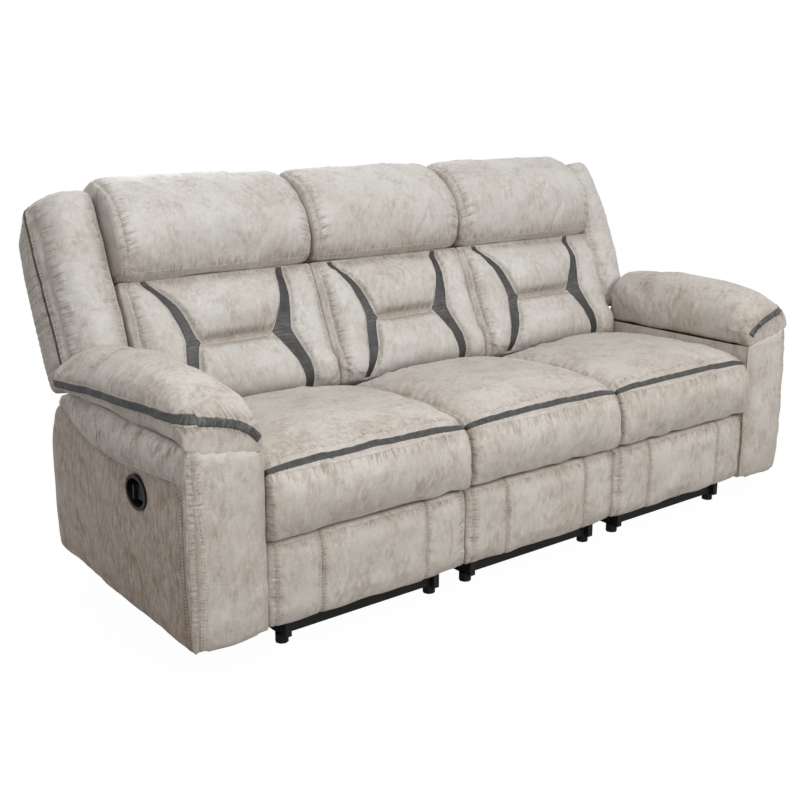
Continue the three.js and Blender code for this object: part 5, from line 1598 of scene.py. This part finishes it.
def make_stitching():
    for unit in UNITS:
        for what, rows, bodies in (("seat", seat_rows, SEAT_BODY), ("back", back_rows, BACK_BODY),
                                   ("headrest", headrest_rows, BACK_BODY), ("panel", panel_rows, PANEL_BODY)):
            stitched(f"{unit}_{what}_stitching", COVERS[what][unit], rows(unit), bodies[unit])
    for name, side in ENDS.items():
        for what, cover, rows, body in (
                ("wing", "wing", wing_rows, f"{name}_back"), ("pad", "pad", pad_rows, "base"),
                ("side", "arm_side_panel", side_panel_rows, "base"),
                ("arm_front", "arm_front_panel", arm_front_rows, "base")):
            stitched(f"{name}_{what}_stitching", COVERS[cover][name], rows(side), body)


# Hard parts keep their shapes and get their finishes

WOOD_WORDS = ("seat_box", "back_frame", "arm_frame", "footrest_frame")
PLASTIC_WORDS = ("handle_housing", "release_lever", "release_cable")


def make_hard_finishes():
    for name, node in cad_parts.items():
        if node.hide_render:
            continue
        finish = "steel"
        if any(word in name for word in WOOD_WORDS):
            finish = "wood"
        if any(word in name for word in PLASTIC_WORDS):
            finish = "plastic"
        node.data.materials.clear()
        node.data.materials.append(MATERIALS[finish])


# Stage

# The camera that was fitted to the photo's edges: its place, its turn down and round, and its lens.
CAMERA_PLACE = (-2.235, -2.665, 1.314)
CAMERA_DOWN, CAMERA_ROUND = 14.6, 38.3
CAMERA_LENS = 52.45
CAMERA_SHIFT_Y = -0.008

# Name, place, aim, size and power of each lamp
LAMPS = (
    ("key", (0.6, -4.2, 3.0), (0.0, -0.1, 0.6), 2.2, 108.0),
    ("top", (-1.4, -1.4, 4.0), (0.0, 0.0, 0.4), 2.4, 48.0),
    ("rear", (0.5, 3.8, 3.0), (0.0, 0.2, 0.6), 2.6, 60.0))


def make_stage():
    scene = bpy.context.scene
    scene.view_settings.view_transform = "Standard"
    bpy.ops.object.select_all(action="DESELECT")
    bpy.ops.mesh.primitive_plane_add(size=16.0, location=(0.0, 0.0, -0.0005))
    floor = bpy.context.active_object
    floor.name = "studio_floor"
    pale = bpy.data.materials.new("studio_floor")
    pale.use_nodes = True
    tree = pale.node_tree
    shader = tree.nodes["Principled BSDF"]
    grain = tree.nodes.new("ShaderNodeTexCoord").outputs["Object"]
    shade = blend_colours(tree, ramp(tree, noise_node(tree, grain, 1.2), (0.3, 0.0), (0.7, 1.0)),
                          (0.42, 0.41, 0.40, 1.0), (0.45, 0.44, 0.43, 1.0))
    tree.links.new(shade, shader.inputs["Base Color"])
    shader.inputs["Roughness"].default_value = 0.7
    glow = tree.nodes.new("ShaderNodeEmission")
    glow.inputs["Strength"].default_value = 1.03
    path = tree.nodes.new("ShaderNodeLightPath")
    mix = tree.nodes.new("ShaderNodeMixShader")
    seen = times(tree, path.outputs["Is Camera Ray"], 0.95)
    tree.links.new(seen, mix.inputs["Fac"])
    tree.links.new(shader.outputs["BSDF"], mix.inputs[1])
    tree.links.new(glow.outputs["Emission"], mix.inputs[2])
    tree.links.new(mix.outputs["Shader"], tree.nodes["Material Output"].inputs["Surface"])
    floor.data.materials.append(pale)

    world = bpy.data.worlds.new("studio")
    scene.world = world
    world.use_nodes = True
    tree = world.node_tree
    lit = tree.nodes["Background"]
    lit.inputs["Color"].default_value = (0.98, 0.99, 1.0, 1.0)
    lit.inputs["Strength"].default_value = 0.52
    seen = tree.nodes.new("ShaderNodeBackground")
    seen.inputs["Color"].default_value = (1.0, 1.0, 1.0, 1.0)
    seen.inputs["Strength"].default_value = 1.0
    path = tree.nodes.new("ShaderNodeLightPath")
    either = reckon(tree, "MAXIMUM", path.outputs["Is Camera Ray"], path.outputs["Is Glossy Ray"])
    either = reckon(tree, "MAXIMUM", either, path.outputs["Is Transmission Ray"])
    mix = tree.nodes.new("ShaderNodeMixShader")
    tree.links.new(either, mix.inputs["Fac"])
    tree.links.new(lit.outputs["Background"], mix.inputs[1])
    tree.links.new(seen.outputs["Background"], mix.inputs[2])
    tree.links.new(mix.outputs["Shader"], tree.nodes["World Output"].inputs["Surface"])

    for name, place, aim, size, power in LAMPS:
        lamp = bpy.data.lights.new(name, "AREA")
        lamp.size = size
        lamp.energy = power
        holder = bpy.data.objects.new(name, lamp)
        scene.collection.objects.link(holder)
        holder.location = place
        holder.rotation_euler = (Vector(aim) - Vector(place)).to_track_quat("-Z", "Y").to_euler()

    camera = bpy.data.cameras.new("camera")
    camera.lens = CAMERA_LENS
    camera.sensor_width = 36.0
    camera.shift_y = CAMERA_SHIFT_Y
    holder = bpy.data.objects.new("camera", camera)
    scene.collection.objects.link(holder)
    holder.location = CAMERA_PLACE
    holder.rotation_euler = (math.radians(90.0 - CAMERA_DOWN), 0.0, math.radians(-CAMERA_ROUND))
    scene.camera = holder


# Operators, panel and main

class SOFA_OT_materials(bpy.types.Operator):
    """Makes the suede, satin, thread, wood, steel and plastic"""
    bl_idname = "sofa.materials"
    bl_label = "Materials"
    bl_options = {"REGISTER", "UNDO"}

    def execute(self, context):
        make_materials()
        return {"FINISHED"}


class SOFA_OT_stage(bpy.types.Operator):
    """Sets up the floor, lamps and camera"""
    bl_idname = "sofa.stage"
    bl_label = "Stage"
    bl_options = {"REGISTER", "UNDO"}

    def execute(self, context):
        make_stage()
        return {"FINISHED"}


class SOFA_OT_seats(bpy.types.Operator):
    """Fills and sews the three seat cushions"""
    bl_idname = "sofa.seats"
    bl_label = "Seat cushions"
    bl_options = {"REGISTER", "UNDO"}

    def execute(self, context):
        make_seats()
        return {"FINISHED"}


class SOFA_OT_backs(bpy.types.Operator):
    """Fills and sews the three back cushions"""
    bl_idname = "sofa.backs"
    bl_label = "Back cushions"
    bl_options = {"REGISTER", "UNDO"}

    def execute(self, context):
        make_backs()
        return {"FINISHED"}


class SOFA_OT_headrests(bpy.types.Operator):
    """Fills and sews the three headrest rolls"""
    bl_idname = "sofa.headrests"
    bl_label = "Headrests"
    bl_options = {"REGISTER", "UNDO"}

    def execute(self, context):
        make_headrests()
        return {"FINISHED"}


class SOFA_OT_panels(bpy.types.Operator):
    """Pads the footrests and the middle front panel"""
    bl_idname = "sofa.panels"
    bl_label = "Front panels"
    bl_options = {"REGISTER", "UNDO"}

    def execute(self, context):
        make_panels()
        return {"FINISHED"}


class SOFA_OT_wings(bpy.types.Operator):
    """Fills and sews the back's two end wings"""
    bl_idname = "sofa.wings"
    bl_label = "Wings"
    bl_options = {"REGISTER", "UNDO"}

    def execute(self, context):
        make_wings()
        return {"FINISHED"}


class SOFA_OT_arm_pads(bpy.types.Operator):
    """Fills and sews the two arm pads"""
    bl_idname = "sofa.arm_pads"
    bl_label = "Arm pads"
    bl_options = {"REGISTER", "UNDO"}

    def execute(self, context):
        make_arm_pads()
        return {"FINISHED"}


class SOFA_OT_arm_panels(bpy.types.Operator):
    """Covers the arms' sides and fronts"""
    bl_idname = "sofa.arm_panels"
    bl_label = "Arm panels"
    bl_options = {"REGISTER", "UNDO"}

    def execute(self, context):
        make_arm_panels()
        return {"FINISHED"}


class SOFA_OT_arm_inners(bpy.types.Operator):
    """Covers the arms' inner faces"""
    bl_idname = "sofa.arm_inners"
    bl_label = "Arm inner covers"
    bl_options = {"REGISTER", "UNDO"}

    def execute(self, context):
        make_arm_inners()
        return {"FINISHED"}


class SOFA_OT_frame_cloths(bpy.types.Operator):
    """Covers the outer faces of the wooden frames"""
    bl_idname = "sofa.frame_cloths"
    bl_label = "Frame cloths"
    bl_options = {"REGISTER", "UNDO"}

    def execute(self, context):
        make_frame_cloths()
        return {"FINISHED"}


class SOFA_OT_groove_cloths(bpy.types.Operator):
    """Lays the cloth behind each seat"""
    bl_idname = "sofa.groove_cloths"
    bl_label = "Groove cloths"
    bl_options = {"REGISTER", "UNDO"}

    def execute(self, context):
        make_groove_cloths()
        return {"FINISHED"}


class SOFA_OT_back_covers(bpy.types.Operator):
    """Covers the rear of each unit"""
    bl_idname = "sofa.back_covers"
    bl_label = "Back covers"
    bl_options = {"REGISTER", "UNDO"}

    def execute(self, context):
        make_back_covers()
        return {"FINISHED"}


class SOFA_OT_trim(bpy.types.Operator):
    """Lays the dark trim strips on the covers"""
    bl_idname = "sofa.trim"
    bl_label = "Trim"
    bl_options = {"REGISTER", "UNDO"}

    def execute(self, context):
        make_trim()
        return {"FINISHED"}


class SOFA_OT_stitching(bpy.types.Operator):
    """Sews the rows of stitches along the seams"""
    bl_idname = "sofa.stitching"
    bl_label = "Stitching"
    bl_options = {"REGISTER", "UNDO"}

    def execute(self, context):
        make_stitching()
        return {"FINISHED"}


class SOFA_OT_hard_finishes(bpy.types.Operator):
    """Finishes the wooden, steel and plastic parts"""
    bl_idname = "sofa.hard_finishes"
    bl_label = "Hard finishes"
    bl_options = {"REGISTER", "UNDO"}

    def execute(self, context):
        make_hard_finishes()
        return {"FINISHED"}


OPERATORS = (
    SOFA_OT_materials,
    SOFA_OT_stage,
    SOFA_OT_seats,
    SOFA_OT_backs,
    SOFA_OT_headrests,
    SOFA_OT_panels,
    SOFA_OT_wings,
    SOFA_OT_arm_pads,
    SOFA_OT_arm_panels,
    SOFA_OT_arm_inners,
    SOFA_OT_frame_cloths,
    SOFA_OT_groove_cloths,
    SOFA_OT_back_covers,
    SOFA_OT_trim,
    SOFA_OT_stitching,
    SOFA_OT_hard_finishes,
)


class SOFA_PT_panel(bpy.types.Panel):
    """The sofa's sizes, colours and making steps."""
    bl_label = "Reclining Sofa"
    bl_idname = "SOFA_PT_panel"
    bl_space_type = "VIEW_3D"
    bl_region_type = "UI"
    bl_category = "Sofa"

    def draw(self, context):
        for name in SofaSettings.__annotations__:
            self.layout.prop(context.scene.sofa, name)
        for made in OPERATORS:
            self.layout.operator(made.bl_idname)


def register():
    bpy.utils.register_class(SofaSettings)
    bpy.types.Scene.sofa = bpy.props.PointerProperty(type=SofaSettings)
    for made in OPERATORS:
        bpy.utils.register_class(made)
    bpy.utils.register_class(SOFA_PT_panel)


def unregister():
    bpy.utils.unregister_class(SOFA_PT_panel)
    for made in reversed(OPERATORS):
        bpy.utils.unregister_class(made)
    del bpy.types.Scene.sofa
    bpy.utils.unregister_class(SofaSettings)


def main():
    register()
    for made in OPERATORS:
        name = made.bl_idname.split(".")[1]
        getattr(bpy.ops.sofa, name)()


if __name__ == "__main__":
    main()
